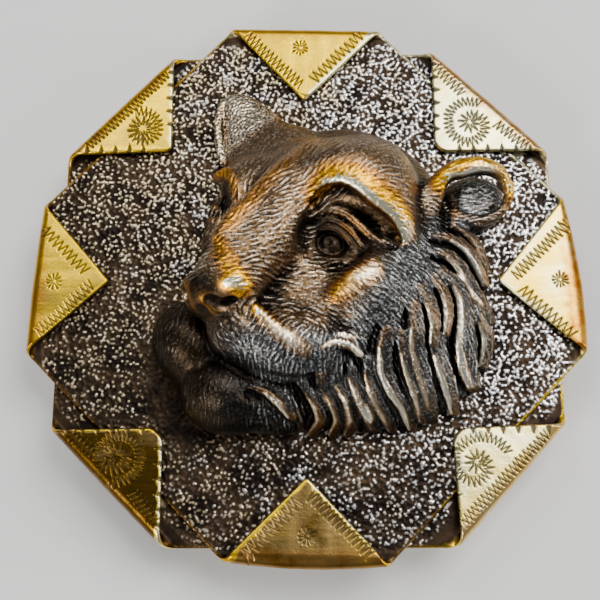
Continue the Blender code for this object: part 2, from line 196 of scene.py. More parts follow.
class FoldedSheet:
    """A square sheet, its corners folded over. Its front face is matted, its back shows on the tabs."""

    def __init__(self, low, turn, radius, over_bend, corners):
        self.low = low
        self.turn = turn
        self.radius = radius
        self.full = math.pi + over_bend
        self.start = HALF_ACROSS - SHEET / 2 - radius
        self.corners = corners

    def tab_place(self, points, number):
        """A corner's own frame: how far in from the folded edge and how far aside, seen from the front."""
        along, side = rotate(points, -90.0 * number).T
        corner = self.corners[number]
        inset = self.start + corner["edge"] + along - 2 * self.fold_start(number, side)
        return inset + SHEET / 2 + self.radius * (1.0 - self.full), side - corner["shift"]

    def fold_start(self, number, side):
        return self.start + self.corners[number]["edge"] + self.corners[number]["slope"] * side

    def apex(self, number):
        """Inset of the tab's point if it weren't rounded."""
        along = self.corners[number]["apex"]
        return float(self.tab_place(rotate(np.array([[along, 0.0]]), 90.0 * number), number)[0][0])

    def place(self, points, offset):
        """Where points of the unfolded sheet land when offset from its middle towards the front face."""
        spot = np.column_stack([points, np.full(len(points), self.low + SHEET / 2)])
        normal = np.zeros_like(spot)
        normal[:, 2] = 1.0
        for number in range(4):
            along, side = rotate(points, -90.0 * number).T
            start = self.fold_start(number, side)
            beyond = along - start
            turn = np.clip(beyond / self.radius, 0.0, self.full)
            straight = np.maximum(beyond - self.radius * self.full, 0.0)
            bulge = self.corners[number]["bulge"] * np.maximum(1.0 - (side / 12.0) ** 2, 0.0)
            reach = start + (self.radius + bulge) * np.sin(turn) + straight * math.cos(self.full)
            rise = self.radius * (1.0 - np.cos(turn)) + straight * math.sin(self.full)
            folded = beyond > 0.0
            flat = rotate(np.stack([reach, side], 1), 90.0 * number)
            lean = rotate(np.stack([-np.sin(turn), np.zeros_like(turn)], 1), 90.0 * number)
            spot[folded, :2] = flat[folded]
            spot[folded, 2] += rise[folded]
            normal[folded, :2] = lean[folded]
            normal[folded, 2] = np.cos(turn)[folded]
        spot += normal * offset[:, None]
        spot[:, :2] = rotate(spot[:, :2], self.turn)
        return spot

    def build(self, name, front_fine, dress_front, dress_back):
        """front_fine says where the front face needs small triangles; each dress_ gives depth and finish."""
        outline = sheet_outline(self.corners)
        screws = rotate(np.array(SCREW_PLACES), -self.turn)
        angles = -2 * math.pi * np.arange(HOLE_SIDES) / HOLE_SIDES
        circle = SHANK_HOLE * np.stack([np.cos(angles), np.sin(angles)], 1)
        rings = [outline] + [screw + circle for screw in screws]
        rim = np.concatenate(rings)
        loops = []
        first = 0
        for ring in rings:
            loops.append(np.arange(first, first + len(ring)))
            first += len(ring)

        all_points = []
        all_finish = []
        faces = []
        total = 0
        for front in (True, False):
            step = FINE_FACE if front else FINE_TAB
            is_fine = front_fine if front else self.on_tab
            dress = dress_front if front else dress_back
            fine = hex_points(step)
            coarse = hex_points(COARSE)
            inner = []
            spread = ((fine[is_fine(fine)], 0.6 * step), (coarse[~is_fine(coarse)], 0.4 * COARSE))
            for points, clear in spread:
                keep = edge_distance(points, self.corners) > clear
                for screw in screws:
                    keep &= np.hypot(*(points - screw).T) > SHANK_HOLE + 0.2
                inner.append(points[keep])
            flat = np.concatenate([rim] + inner)
            triangles = triangulate(flat, loops)
            depth, finish = dress(flat)
            near_edge = np.maximum(EDGE_ROUNDING - edge_distance(flat, self.corners), 0.0)
            rounding = EDGE_ROUNDING - np.sqrt(np.maximum(EDGE_ROUNDING ** 2 - near_edge ** 2, 0.0))
            offset = SHEET / 2 - depth - rounding
            all_points.append(self.place(flat, offset if front else -offset))
            all_finish.append(finish)
            faces += (triangles if front else triangles[:, ::-1] + total).tolist()
            if front:
                total = len(flat)
        for loop in loops:
            after = np.roll(loop, -1)
            faces += np.stack([loop + total, after + total, after, loop], 1).tolist()
        return make_mesh(name, np.concatenate(all_points), faces, np.concatenate(all_finish))

    def on_tab(self, points):
        inside = np.zeros(len(points), bool)
        for number in range(4):
            inside |= self.tab_place(points, number)[0] > TAB_FROM
        return inside


# Tool marks: each is a cut from one point to another, with its half width at both ends.

CUT_WIDTH = 0.13
CUT_DEPTH = 0.15
HEAVY_STROKE = 1.3
LIGHT_STROKE = 0.85
PITCH_WANDER = 0.05
HEIGHT_WANDER = 0.09
LOOK_AROUND = 0.3
STAR_RADIUS = 1.15
STAR_EYE = 0.35
RAY_WANDER = 0.12
RAY_WIDTHS = (0.1, 0.16)
SPIRAL_STEPS = 100
SPIRAL_HEIGHT = 1.25
SPIRAL_PITCH = 0.66
NICK_REACH = 0.7
NICK_WIDTHS = (0.52, 0.06)
LEG_START = 1.0
LEG_HEIGHT = 1.6


def wriggle(path, height, pitch, seed):
    """A zigzag line walked along a path of (inset, side) points, as a rocked graver leaves it."""
    rng = np.random.default_rng(seed)
    path = np.array(path, float)
    walked = np.concatenate([[0.0], np.cumsum(np.linalg.norm(np.diff(path, axis=0), axis=1))])
    whole = walked[-1]

    def spot(distance):
        return np.array([np.interp(distance, walked, line) for line in path.T])

    count = max(3, int(round(2 * whole / pitch)))
    spots = []
    for number in range(count + 1):
        at = whole * number / count + rng.normal(0.0, PITCH_WANDER * pitch)
        at = min(max(at, 0.0), whole)
        along = spot(min(at + LOOK_AROUND, whole)) - spot(max(at - LOOK_AROUND, 0.0))
        along /= np.linalg.norm(along) + 1e-9
        across = np.array([-along[1], along[0]])
        size = height / 2 * (1.0 + rng.normal(0.0, HEIGHT_WANDER))
        spots.append(spot(at) + across * size * (-1) ** number)
    marks = []
    for number, (a, b) in enumerate(zip(spots, spots[1:])):
        width = (HEAVY_STROKE if number % 2 else LIGHT_STROKE) * CUT_WIDTH
        marks.append((a, b, width * rng.uniform(0.85, 1.1), width * rng.uniform(0.7, 0.9)))
    return marks


def star(centre, rays, seed):
    """Short cuts all round a small open middle."""
    rng = np.random.default_rng(seed)
    marks = []
    for ray in range(rays):
        angle = 2 * math.pi * (ray + rng.uniform(-RAY_WANDER, RAY_WANDER)) / rays
        way = np.array([math.cos(angle), math.sin(angle)])
        reach = STAR_RADIUS * rng.uniform(0.85, 1.1)
        marks.append((centre + way * STAR_EYE, centre + way * reach, *RAY_WIDTHS))
    return marks


def snail(centre, start_degrees, hand, profile, seed):
    """A wriggled spiral: one wide turn that closes in on a small rosette."""
    walked, radii = zip(*profile)
    turned = np.linspace(0.0, walked[-1], SPIRAL_STEPS)
    angle = np.radians(start_degrees + hand * turned)
    radius = np.interp(turned, walked, radii)
    path = np.stack([centre[0] + radius * np.cos(angle), centre[1] + radius * np.sin(angle)], 1)
    return wriggle(path, SPIRAL_HEIGHT, SPIRAL_PITCH, seed)


def nicks(places, side, apex, seed):
    """Triangular cuts in from a leg of the tab. Places count along the leg from the folded edge."""
    rng = np.random.default_rng(seed)
    marks = []
    for place in places:
        foot = np.array([place, side * (apex - place)])
        inwards = -NICK_REACH * np.array([1.0, side])
        marks.append((foot, foot + inwards * rng.uniform(0.8, 1.15), *NICK_WIDTHS))
    return marks


def leg_row(apex, side, distance, last, pitch, seed):
    """A wriggled row parallel to one leg of the tab, from near the folded edge to the last inset."""
    shift = distance * math.sqrt(2.0)
    path = [(inset, side * (apex - shift - inset)) for inset in (LEG_START, last)]
    return wriggle(path, LEG_HEIGHT, pitch, seed)


def cut_depth(inset, side, marks):
    """How deep the marks go at every place, from 0 beside a cut to 1 along its middle."""
    share = np.zeros(len(inset))
    for a, b, wide_a, wide_b in marks:
        reach = max(wide_a, wide_b)
        low = np.minimum(a, b) - reach
        high = np.maximum(a, b) + reach
        near = np.flatnonzero((inset > low[0]) & (inset < high[0]) & (side > low[1]) & (side < high[1]))
        along = b - a
        px = inset[near] - a[0]
        py = side[near] - a[1]
        t = np.clip((px * along[0] + py * along[1]) / (along @ along), 0.0, 1.0)
        distance = np.hypot(px - t * along[0], py - t * along[1])
        wide = wide_a + (wide_b - wide_a) * t
        share[near] = np.maximum(share[near], np.clip(1.0 - (distance / wide) ** 2, 0.0, 1.0))
    return share


# Each corner as the hand left it: where its unfolded point is, how far that is shifted aside, how far its
# folded edge stands out and how much it slopes, the rounding of its tip, how far its fold bulges, its
# painted light tone from 0, dull and dark, to 1, pale and bright (paler to the right, darker to the lower
# left, as the light falls), how much amber shows, and how bright a highlight is painted along the cut edges
# of its two legs. Its marks are added further down.
CORNER_VALUES = ("apex", "shift", "edge", "slope", "tip", "bulge", "painted_light_tone", "amber", "rim")


def corners_of(rows):
    return [dict(zip(CORNER_VALUES, row)) for row in rows]


FRONT_CORNERS = corners_of([
    (50.7, 0.1, -0.8, -0.08, 0.5, 0.8, 0.8, 1, (0.9, 0)),
    (52.2, 0.1, 0.3, 0.028, 0.5, 0.1, 0.5, 0.6, (0.9, 0.2)),
    (50.7, -0.5, -0.3, 0.067, 0.5, 0.3, 0.38, 0.7, (0.3, 0.3)),
    (51.5, -0.1, -0.3, 0.03, 0.5, 0.8, 0.14, 0.6, (0.4, 0.9)),
])
BACK_CORNERS = corners_of([
    (52.3, 0.5, -0.1, -0.01, 2, 0.1, 0.95, 0.9, (0, 0)),
    (51.1, -0.4, -0.3, -0.013, 1, 0.1, 0.42, 0.7, (0.9, 0.5)),
    (52.6, 0.4, 0.7, 0.008, 2, 0.1, 0.02, 0.35, (0.3, 0.95)),
    (52.8, -0.6, 0.9, -0.04, 2, 0.1, 0.9, 0.6, (0, 0)),
])
front = FoldedSheet(FRONT_LOW, 0.0, FRONT_FOLD_RADIUS, FRONT_OVER_BEND, FRONT_CORNERS)
back = FoldedSheet(BACK_LOW, 45.0, BACK_FOLD_RADIUS, 0.0, BACK_CORNERS)

# The front sheet's tabs: where each star is, and its rays. A row runs along each leg.
STARS = [((2.4, -0.1), 12), ((3.2, 0.6), 12), ((2.9, 0.1), 11), ((3.5, 0), 12)]
ROW_FROM_EDGE = 1.35
ROW_PITCH = 0.78
SECOND_ROW_PITCH = 0.95
for number, (centre, rays) in enumerate(STARS):
    apex = front.apex(number)
    last = apex - ROW_FROM_EDGE * math.sqrt(2.0) - 0.5
    marks = star(np.array(centre), rays, 20 + number)
    marks += leg_row(apex, 1, ROW_FROM_EDGE, last, ROW_PITCH, 30 + number)
    marks += leg_row(apex, -1, ROW_FROM_EDGE + 0.1, last - 0.9, SECOND_ROW_PITCH, 40 + number)
    FRONT_CORNERS[number]["marks"] = marks

# The back sheet's tabs. Each spiral is given by its middle, the angle where it starts, its turning, and its
# radius at each angle walked.
SNAILS = [
    ((4.9, -0.5), 165, -1, ((0, 3.4), (200, 3.3), (270, 2.6), (330, 1.8), (380, 1.15), (720, 1))),
    ((5.2, 0.7), 200, 1, ((0, 2.9), (120, 2.5), (240, 1.8), (330, 1.4), (690, 1.25))),
    ((4.1, -1.5), 150, -1, ((0, 3.4), (200, 3.2), (300, 2.4), (380, 1.5), (720, 1.15))),
    ((5.8, -1.1), 120, -1, ((0, 4.7), (50, 3.7), (90, 3.2), (230, 3), (300, 2.2), (350, 1.4), (400, 1.1),
                            (720, 1))),
]
WHOLE_ROWS = (1, 3)
WHOLE_ROW_HEIGHT = 1.2
WHOLE_ROW_PITCH = 0.72
HALF_ROW_HEIGHT = 1.4
HALF_ROW_PITCH = 0.75
FIRST_NICK = 1.9
NICK_PITCH = 1.5
for number, (centre, start_degrees, hand, profile) in enumerate(SNAILS):
    apex = back.apex(number)
    marks = snail(centre, start_degrees, hand, profile, 50 + number)
    if number in WHOLE_ROWS:
        path = [(1.5, 2.7 - apex), (1.6, 0.0), (1.5, apex - 2.7)]
        marks += wriggle(path, WHOLE_ROW_HEIGHT, WHOLE_ROW_PITCH, 60 + number)
    for side in (1, -1):
        if number not in WHOLE_ROWS:
            path = [(2.3, side * 3.4), (1.9, side * (apex - 2.6))]
            marks += wriggle(path, HALF_ROW_HEIGHT, HALF_ROW_PITCH, 60 + 2 * number + side)
        marks += nicks(np.arange(FIRST_NICK, apex - 1.6, NICK_PITCH), side, apex, 70 + 2 * number + side)
    BACK_CORNERS[number]["marks"] = marks

matting = band_noise(3, 56.0, 0.1, 0.78, 0.42)
matting_wide = band_noise(6, 56.0, 0.1, 1.5, 0.4)
matting_fine = band_noise(4, 56.0, 0.1, 0.45, 0.5)
hand_waver = band_noise(5, 56.0, 0.4, 7.0, 0.8)

MATTING_DEPTH = 0.2
WAVER_DEPTH = 0.04
TAB_WAVER_DEPTH = 0.03
WORM_SHARPNESS = 2.6
CHIN_SHADE = (-17.5, -14.0)
CHIN_SHADE_HALF = (6.0, 10.0)
TAB_DEPTH = 11.0
PLAIN_TONE = 0.3
HEAD_COVERS = (4.0, 0.5)
HEAD_COVERS_HALF = (19.0, 18.0)
HEAD_COVERS_SHARE = 0.93


def in_oval(x, y, middle, half):
    """Distance from the middle of an oval, 1 on its edge."""
    return np.hypot((x - middle[0]) / half[0], (y - middle[1]) / half[1])


def front_fine(points):
    """The front sheet's matting shows wherever the head, its folds and the other tabs leave it open."""
    x, y = points.T
    across = np.maximum(np.abs(x), np.abs(y)) < HALF_ACROSS - 0.5
    open_diagonal = (np.abs(x) + np.abs(y)) / math.sqrt(2.0) < HALF_ACROSS - 1.0
    tab = np.zeros(len(points), bool)
    for turn in range(0, 360, 45):
        along, side = rotate(points, -turn).T
        tab |= (along > HALF_ACROSS - TAB_DEPTH + np.abs(side) + (2.5 if turn % 90 else 1.5))
    in_view = in_oval(x, y, HEAD_COVERS, HEAD_COVERS_HALF) >= HEAD_COVERS_SHARE
    return across & open_diagonal & ~tab & in_view


def dress_matted(sheet):
    """Punched ground: close pits between worn, worm-like ridges, painted lighter towards the upper right."""
    def dress(points):
        x, y = rotate(points, sheet.turn).T
        worms = 1.0 - WORM_SHARPNESS * np.abs(matting_wide.at(x, y))
        relief = 0.45 * worms + 0.5 * matting.at(x, y) + 0.3 * matting_fine.at(x, y)
        plain = smooth_step(0.05, 0.5, edge_distance(points, sheet.corners))
        punched = plain * smooth_step(0.3, 1.2, sheet.start - np.abs(points).max(axis=1))
        depth = MATTING_DEPTH * (1.0 - smooth_step(-0.75, 0.75, relief)) * punched
        depth -= WAVER_DEPTH * hand_waver.at(x, y) * plain
        # Painted light: more and brighter ridges towards the upper right, where the light falls.
        painted_light_gradient = np.clip(0.5 + 0.011 * x + 0.013 * y, 0.0, 1.0)
        worn = smooth_step(0.43 - 0.24 * painted_light_gradient, 0.65 - 0.24 * painted_light_gradient, relief) * punched
        # Painted shadow: fewer bright ridges under the chin, where the head's shadow falls.
        worn *= smooth_step(0.8, 1.4, in_oval(x, y, CHIN_SHADE, CHIN_SHADE_HALF))
        warm = np.clip(0.55 - 0.016 * x + 0.35 * hand_waver.at(x + 3.0, y), 0.0, 1.0)
        return depth, np.stack([worn, plain, warm * plain, painted_light_gradient], 1)
    return dress


def back_fine(points):
    """The back sheet's front shows in the notches beside its tabs."""
    reach = np.abs(points).max(axis=1)
    side = np.abs(points).min(axis=1)
    return (reach > 35.5) & (reach < HALF_ACROSS - 0.5) & (side > 9.0)


def dress_tabs(sheet):
    """Bright face: tool marks on the tabs, amber along the folds, painted light and edge highlights, a plain
    back.
    """
    def dress(points):
        x, y = points.T
        cut = np.zeros(len(points))
        amber = np.zeros(len(points))
        painted_light_tone = np.full(len(points), PLAIN_TONE)
        for number, corner in enumerate(sheet.corners):
            inset, side = sheet.tab_place(points, number)
            here = inset > -1.0
            cut[here] = np.maximum(cut[here], cut_depth(inset[here], side[here], corner["marks"]))
            waver = 0.35 * matting.at(side * 0.5 + 9.0 * number, inset * 0.3)
            fold_line = smooth_step(2.6 + waver, 0.6 + waver, inset) * smooth_step(-1.6, 0.3, inset)
            amber = np.where(here, corner["amber"] * fold_line, amber)
            from_leg = (sheet.apex(number) - inset - np.abs(side)) / math.sqrt(2.0)
            # Painted highlight along the legs' cut edges that face the light.
            rim = np.where(side > 0.0, corner["rim"][1], corner["rim"][0])
            rim = rim * smooth_step(0.75, 0.4, from_leg + 0.8 * waver)
            # Painted light: each tab's tone, paler where the edge highlight is painted.
            painted_light_tone = np.where(inset > -2.0, corner["painted_light_tone"] + (1.0 - corner["painted_light_tone"]) * rim, painted_light_tone)
        depth = CUT_DEPTH * cut - TAB_WAVER_DEPTH * hand_waver.at(x * 1.7, y * 1.7)
        return depth, np.stack([cut, np.zeros(len(points)), amber, painted_light_tone], 1)
    return dress


front_sheet = front.build("front_sheet_tooled", front_fine, dress_matted(front), dress_tabs(front))
back_sheet = back.build("back_sheet_tooled", back_fine, dress_matted(back), dress_tabs(back))


# The head is modelled like clay, on a grid of signed distances: below zero is inside.

HEAD_CELL = 0.22
HEAD_BASE = FIT_GAP
NEAR_SHAPE = 0.5
WIDE_SHAPE = 1.5


class Clay:
    """A block of signed distances, and the ways to add to it, carve it and read its surface."""

    def __init__(self, low, high, cell):
        self.low = np.array(low, float)
        self.cell = cell
        self.axes = [np.arange(a, b + cell, cell, dtype=np.float32) for a, b in zip(low, high)]
        self.field = np.full([len(axis) for axis in self.axes], 9.0, np.float32)

    def window(self, low, high, margin):
        cuts = []
        for axis, a, b in zip(self.axes, low, high):
            first = int(np.searchsorted(axis, a - margin))
            last = int(np.searchsorted(axis, b + margin))
            cuts.append(slice(first, max(last, first + 1)))
        x, y, z = (axis[cut] for axis, cut in zip(self.axes, cuts))
        return tuple(cuts), x[:, None, None], y[None, :, None], z[None, None, :]

    def apply(self, cuts, distance, blend, carve):
        """Adds or carves with a soft seam; carving is adding to the outside."""
        sign = -1.0 if carve else 1.0
        old = sign * self.field[cuts]
        near = np.maximum(blend - np.abs(old - distance), 0.0) / blend
        self.field[cuts] = sign * (np.minimum(old, distance) - near * near * blend / 4)

    def ellipsoid(self, centre, half, blend, turn=0.0, carve=False):
        centre = np.array(centre, float)
        reach = max(half)
        cuts, x, y, z = self.window(centre - reach, centre + reach, blend + 1.0)
        x, y, z = x - centre[0], y - centre[1], z - centre[2]
        c = math.cos(math.radians(turn))
        s = math.sin(math.radians(turn))
        parts = list(zip((x * c + y * s, y * c - x * s, z), half))
        near = np.sqrt(sum((way / long) ** 2 for way, long in parts)) + 1e-6
        slope = np.sqrt(sum((way / long ** 2) ** 2 for way, long in parts)) + 1e-6
        self.apply(cuts, near * (near - 1.0) / slope, blend, carve)

    def strand(self, knots, blend, carve=False):
        """A round bar on a smooth curve through (x, y, height, radius) knots."""
        knots = curve_through(np.array(knots, float), 4)
        reach = knots[:, 3].max()
        cuts, x, y, z = self.window(knots[:, :3].min(0) - reach, knots[:, :3].max(0) + reach, blend + 0.6)
        best = np.float32(99.0)
        for a, b in zip(knots, knots[1:]):
            along = b[:3] - a[:3]
            t = (x - a[0]) * along[0] + (y - a[1]) * along[1] + (z - a[2]) * along[2]
            t = np.clip(t / float(along @ along), 0.0, 1.0)
            gap = np.sqrt((x - a[0] - t * along[0]) ** 2 + (y - a[1] - t * along[1]) ** 2
                          + (z - a[2] - t * along[2]) ** 2)
            best = np.minimum(best, gap - (a[3] + t * (b[3] - a[3])))
        self.apply(cuts, best.astype(np.float32), blend, carve)

    def top(self, x, y):
        """How high the skin stands over a place, or 0 where there is none."""
        i = int(round((x - self.low[0]) / self.cell))
        j = int(round((y - self.low[1]) / self.cell))
        inside = np.flatnonzero(self.field[i, j] < 0.0)
        return float(self.axes[2][inside[-1]]) if len(inside) else 0.0

    def bore(self, x, y, radius, top):
        cuts, gx, gy, gz = self.window((x - radius, y - radius, -1.0), (x + radius, y + radius, top), 1.0)
        gap = np.maximum(np.hypot(gx - x, gy - y) - radius, gz - top)
        self.field[cuts] = np.maximum(self.field[cuts], -gap)

    def sample(self, grid, points):
        place = (points - self.low) / self.cell
        base = np.clip(np.floor(place).astype(int), 0, np.array(grid.shape) - 2)
        part = np.clip(place - base, 0.0, 1.0)
        total = np.zeros(len(points))
        for corner in range(8):
            step = np.array([corner & 1, corner >> 1 & 1, corner >> 2 & 1])
            weight = np.prod(np.where(step, part, 1.0 - part), axis=1)
            total += weight * grid[tuple((base + step).T)]
        return total

    def skin(self):
        """One point in each cell that the surface crosses, and one quad across each crossed edge."""
        field = self.field
        inside = field < 0.0
        count = np.zeros([size - 1 for size in field.shape], np.int8)
        for corner in np.ndindex(2, 2, 2):
            count += inside[tuple(slice(first, first + size) for first, size in zip(corner, count.shape))]
        active = (count > 0) & (count < 8)
        cells = np.argwhere(active)
        number = np.full(active.shape, -1, np.int32)
        number[active] = np.arange(len(cells))
        place = np.zeros((len(cells), 3))
        hits = np.zeros(len(cells))
        for axis in range(3):
            for sides in np.ndindex(2, 2):
                start = np.insert(sides, axis, 0)
                end = np.insert(sides, axis, 1)
                a = field[tuple((cells + start).T)]
                b = field[tuple((cells + end).T)]
                crossed = (a < 0) != (b < 0)
                t = np.where(crossed, a / np.where(crossed, a - b, 1.0), 0.0)
                place += np.where(crossed[:, None], start + t[:, None] * (end - start), 0.0)
                hits += crossed
        points = self.low + (cells + place / hits[:, None]) * self.cell
        faces = []
        for axis in range(3):
            du, dv = np.eye(3, dtype=int)[[(axis + 1) % 3, (axis + 2) % 3]]
            a = np.take(inside, range(field.shape[axis] - 1), axis)
            b = np.take(inside, range(1, field.shape[axis]), axis)
            for crossed, order in ((a & ~b, 1), (~a & b, -1)):
                edge = np.argwhere(crossed)
                ring = [edge - du - dv, edge - dv, edge, edge - du][::order]
                faces.append(np.stack([number[tuple(cell.T)] for cell in ring], 1))
        return points, np.concatenate(faces)


def curve_through(knots, steps):
    """More knots on a smooth curve through the given ones."""
    k = np.vstack([2 * knots[0] - knots[1], knots, 2 * knots[-1] - knots[-2]])
    out = []
    for i in range(1, len(k) - 2):
        for t in np.arange(steps) / steps:
            out.append(0.5 * (2 * k[i] + (k[i + 1] - k[i - 1]) * t
                              + (2 * k[i - 1] - 5 * k[i] + 4 * k[i + 1] - k[i + 2]) * t ** 2
                              + (3 * k[i] - k[i - 1] - 3 * k[i + 1] + k[i + 2]) * t ** 3))
    out.append(k[-2])
    return np.array(out)


def blur(grid, cells):
    """Three box blurs along every axis, close to a Gaussian."""
    for _ in range(3):
        for axis in range(grid.ndim):
            pad = [(cells + 1, cells) if a == axis else (0, 0) for a in range(grid.ndim)]
            total = np.cumsum(np.pad(grid, pad, mode="edge"), axis=axis, dtype=np.float64)
            size = total.shape[axis]
            upper = np.take(total, range(2 * cells + 1, size), axis)
            lower = np.take(total, range(0, size - 2 * cells - 1), axis)
            grid = ((upper - lower) / (2 * cells + 1)).astype(np.float32)
    return grid


HOLLOW_MIDDLE = (2.0, 1.0, HEAD_BASE)
HOLLOW_HALF = (9.5, 8.0, 7.0)


def sculpt(cell):
    """The whole head and its locks' crests. Strands run through (x, y, height, radius) knots."""
    clay = Clay((-25.0, -25.5, -0.6), (32.0, 31.0, 19.5), cell)
    mass = clay.ellipsoid
    strand = clay.strand

    # skull, face, cheeks, throat
    mass((5, 5, -2), (17.5, 19.4, 12.4), blend=2)
    mass((-1.5, 12, 2.2), (8.5, 9, 9.2), blend=3)
    mass((0, -1.5, 1), (14.5, 13.5, 11), blend=3)
    mass((10, -4.5, 2.6), (10.5, 10.5, 9.4), blend=3)
    mass((14.5, -5, -0.5), (12, 14.5, 8.4), blend=3)
    mass((6, -14, -0.5), (15.5, 8, 7.6), blend=3)
    mass((-11, 4, 2), (4.2, 9, 6.2), blend=2)

    # muzzle: bridge, near nostril's wing, nose pad, whisker pads, chin and underlip
    strand([(0.2, 13.4, 8.2, 5.2), (-2.2, 8.2, 11, 5), (-6.2, 2.2, 12.4, 5), (-10.2, -2.2, 12.8, 4.7)],
           blend=1.6)
    mass((-9.2, -3.4, 13.2), (3.2, 2.8, 4.2), turn=-30, blend=1)
    mass((-12.9, -4.7, 12.4), (4.2, 3.2, 4.2), turn=-35, blend=1)
    mass((-14.2, -12.8, 2), (4.6, 4.4, 5.6), blend=2)
    mass((-3.6, -10.2, 7.4), (9.2, 5.8, 6.4), turn=-10, blend=1.4)
    mass((-9.2, -8.4, 9), (4.4, 4.4, 4.8), blend=1.6)
    mass((-16.4, -9.4, 2.8), (5.4, 6.2, 6.2), turn=20, blend=1)
    mass((-11.6, -16.6, 2.8), (6.4, 5.6, 7), turn=-15, blend=0.8)
    mass((-4, -18, 1.6), (7.5, 4.2, 5.6), blend=1.5)

    # hollow under the eye, lip roll, mouth
    mass((1, -2.4, 15.4), (5.8, 3.6, 3.4), turn=35, blend=3.5, carve=True)
    strand([(-8.7, -5.7, 13.4, 0.7), (-6.5, -7.1, 13.6, 0.9), (-4.3, -9.2, 13, 1), (-2.1, -11, 12.2, 1.1),
            (-0.1, -12.2, 11.4, 0.7)], blend=0.9)
    strand([(0.6, -12.8, 10.8, 0.4), (2.1, -11.7, 11.3, 0.6), (3.8, -10.9, 11.2, 0.7),
            (5.8, -11.2, 10.6, 0.7), (7.5, -12.5, 9.3, 0.4)], blend=0.7)
    strand([(2.9, -10, 11.2, 0.5), (4.6, -9.8, 10.9, 0.6), (6.6, -10.2, 10.2, 0.6), (8.6, -11.4, 9.2, 0.5)],
           blend=0.5)
    strand([(-13.8, -7.6, 15.2, 0.7), (-12.6, -11.6, 12.6, 0.9), (-10.4, -14.2, 11.6, 1.2),
            (-5, -16.3, 10.6, 1.3), (1, -16.6, 9.8, 1.2), (5.6, -14.6, 9.4, 0.8)], carve=True, blend=1)

    # near eye: a broad brow that ends in a sharp lip, the socket under it, ball and lids
    mass((7.5, 13, 7.8), (8, 6.5, 7.4), blend=3)
    strand([(0.4, 9.2, 11.6, 2), (2.4, 11.8, 12.8, 2.5), (5.2, 12.8, 13.2, 3), (8.4, 11.4, 12.8, 3.2),
            (11, 9.4, 11.6, 3), (12.8, 6.6, 10, 2.4), (13.4, 3.8, 8.6, 1.6)], blend=3)
    strand([(0.6, 8.4, 12.6, 0.8), (1.8, 9.9, 13.6, 1), (3.2, 10.9, 14.3, 1.1), (5, 11, 14.8, 1.2),
            (6.8, 10.2, 14.9, 1.4), (8.4, 9, 14.5, 1.5), (10, 8, 13.8, 1.6), (11.6, 7, 13, 1.6),
            (12.9, 5.6, 11.7, 1.5), (13.6, 4, 10.2, 1)], blend=1.6)
    mass((4.2, 2.4, 14.2), (5.6, 4.8, 5), turn=-28, blend=1.2, carve=True)
    strand([(1.6, 7.2, 13.9, 1.5), (3, 8.2, 14.9, 1.7), (4.6, 8.2, 15.3, 1.8), (6.2, 7.2, 15.3, 1.8),
            (7.8, 6, 15, 1.7), (9.4, 5.2, 14.2, 1.6), (10.9, 4.2, 13, 1.5), (12, 3, 11.4, 1.2)],
           blend=0.4, carve=True)
    mass((4, 4, 9.2), (5.2, 3.6, 2), turn=-28, blend=1)
    mass((3.5, 3.1, 11.4), (2.6, 2, 2), turn=-20, blend=0.5, carve=True)
    mass((3.5, 3.2, 8.6), (2.2, 2.1, 2.1), blend=0.2)
    mass((3.1, 3.3, 10.9), (0.6, 0.6, 0.6), blend=0.2, carve=True)
    strand([(-0.9, 5.8, 11, 0.4), (0.9, 7.1, 11.5, 0.5), (2.3, 7.5, 11.8, 0.6), (5.2, 7, 12, 0.65),
            (7.4, 5.2, 11.8, 0.65), (9.6, 3.4, 11, 0.6), (12.2, 3, 10, 0.4)], blend=0.4)
    strand([(0.4, 5.8, 10.6, 0.35), (2.3, 6.2, 11.1, 0.45), (4.1, 6.1, 11.4, 0.5), (6.1, 4.7, 11.4, 0.5),
            (7.7, 2.6, 11, 0.4)], blend=0.35)
    strand([(1, 4.7, 10.2, 0.3), (2.6, 5.1, 10.7, 0.35), (4.2, 4.9, 10.9, 0.4), (5.8, 3.4, 10.9, 0.4),
            (6.8, 1.6, 10.4, 0.35)], blend=0.3)
    strand([(-0.6, 2.8, 9.8, 0.4), (1.4, 1.3, 10.2, 0.45), (3.8, 0.6, 10.5, 0.5), (6.4, 0.9, 10.4, 0.4)],
           blend=0.6)
    # cheekbone: sharp towards the eye, soft towards the cheek
    mass((9, -3.4, 8.6), (4.6, 3.8, 4.4), turn=35, blend=2.5)
    strand([(2.6, -5.4, 10.4, 0.8), (4.6, -4, 11.3, 1.2), (6.6, -2.4, 11.7, 1.5), (9, -0.8, 11.3, 1.4)],
           blend=2)
    # crest where the bridge turns to the far side
    strand([(1.8, 16.5, 10.8, 1.2), (-0.5, 14.9, 11.6, 1.3), (-3.3, 12.5, 12.9, 1.3),
            (-5.7, 9.8, 13.9, 1.3), (-7.2, 7.5, 14.8, 1.3), (-9.3, 5.3, 15.5, 1.3),
            (-11.2, 2.6, 15.9, 1.2)], blend=2)
    # far brow, far eye: the ridge stands between the bridge's far side and the socket
    mass((-7.2, 12, 5), (4.6, 6, 5.4), turn=20, blend=2.5)
    strand([(-12.4, 14, 7.2, 0.9), (-10.8, 14, 8.4, 1.1), (-9.6, 11.8, 9.2, 1.2), (-9.3, 9.2, 9.6, 1),
            (-10.2, 6.6, 9.8, 0.8)], blend=1.2)
    mass((-12.9, 10.6, 8.4), (2, 3.2, 3.6), blend=0.8, carve=True)
    mass((-12.6, 9.4, 4.6), (1.4, 1.7, 1.8), blend=0.4)
    strand([(-13.6, 8, 6.4, 0.4), (-12.4, 7.4, 7.4, 0.6), (-11, 7.8, 8.4, 0.5)], blend=0.5)
    # nostrils
    strand([(-9.6, -6, 15.4, 0.7), (-10.8, -6.8, 15.6, 1), (-12.4, -6.2, 16.2, 0.7)], blend=0.5, carve=True)
    mass((-16.1, -5.1, 13.4), (1.1, 1.3, 1.6), blend=0.5, carve=True)

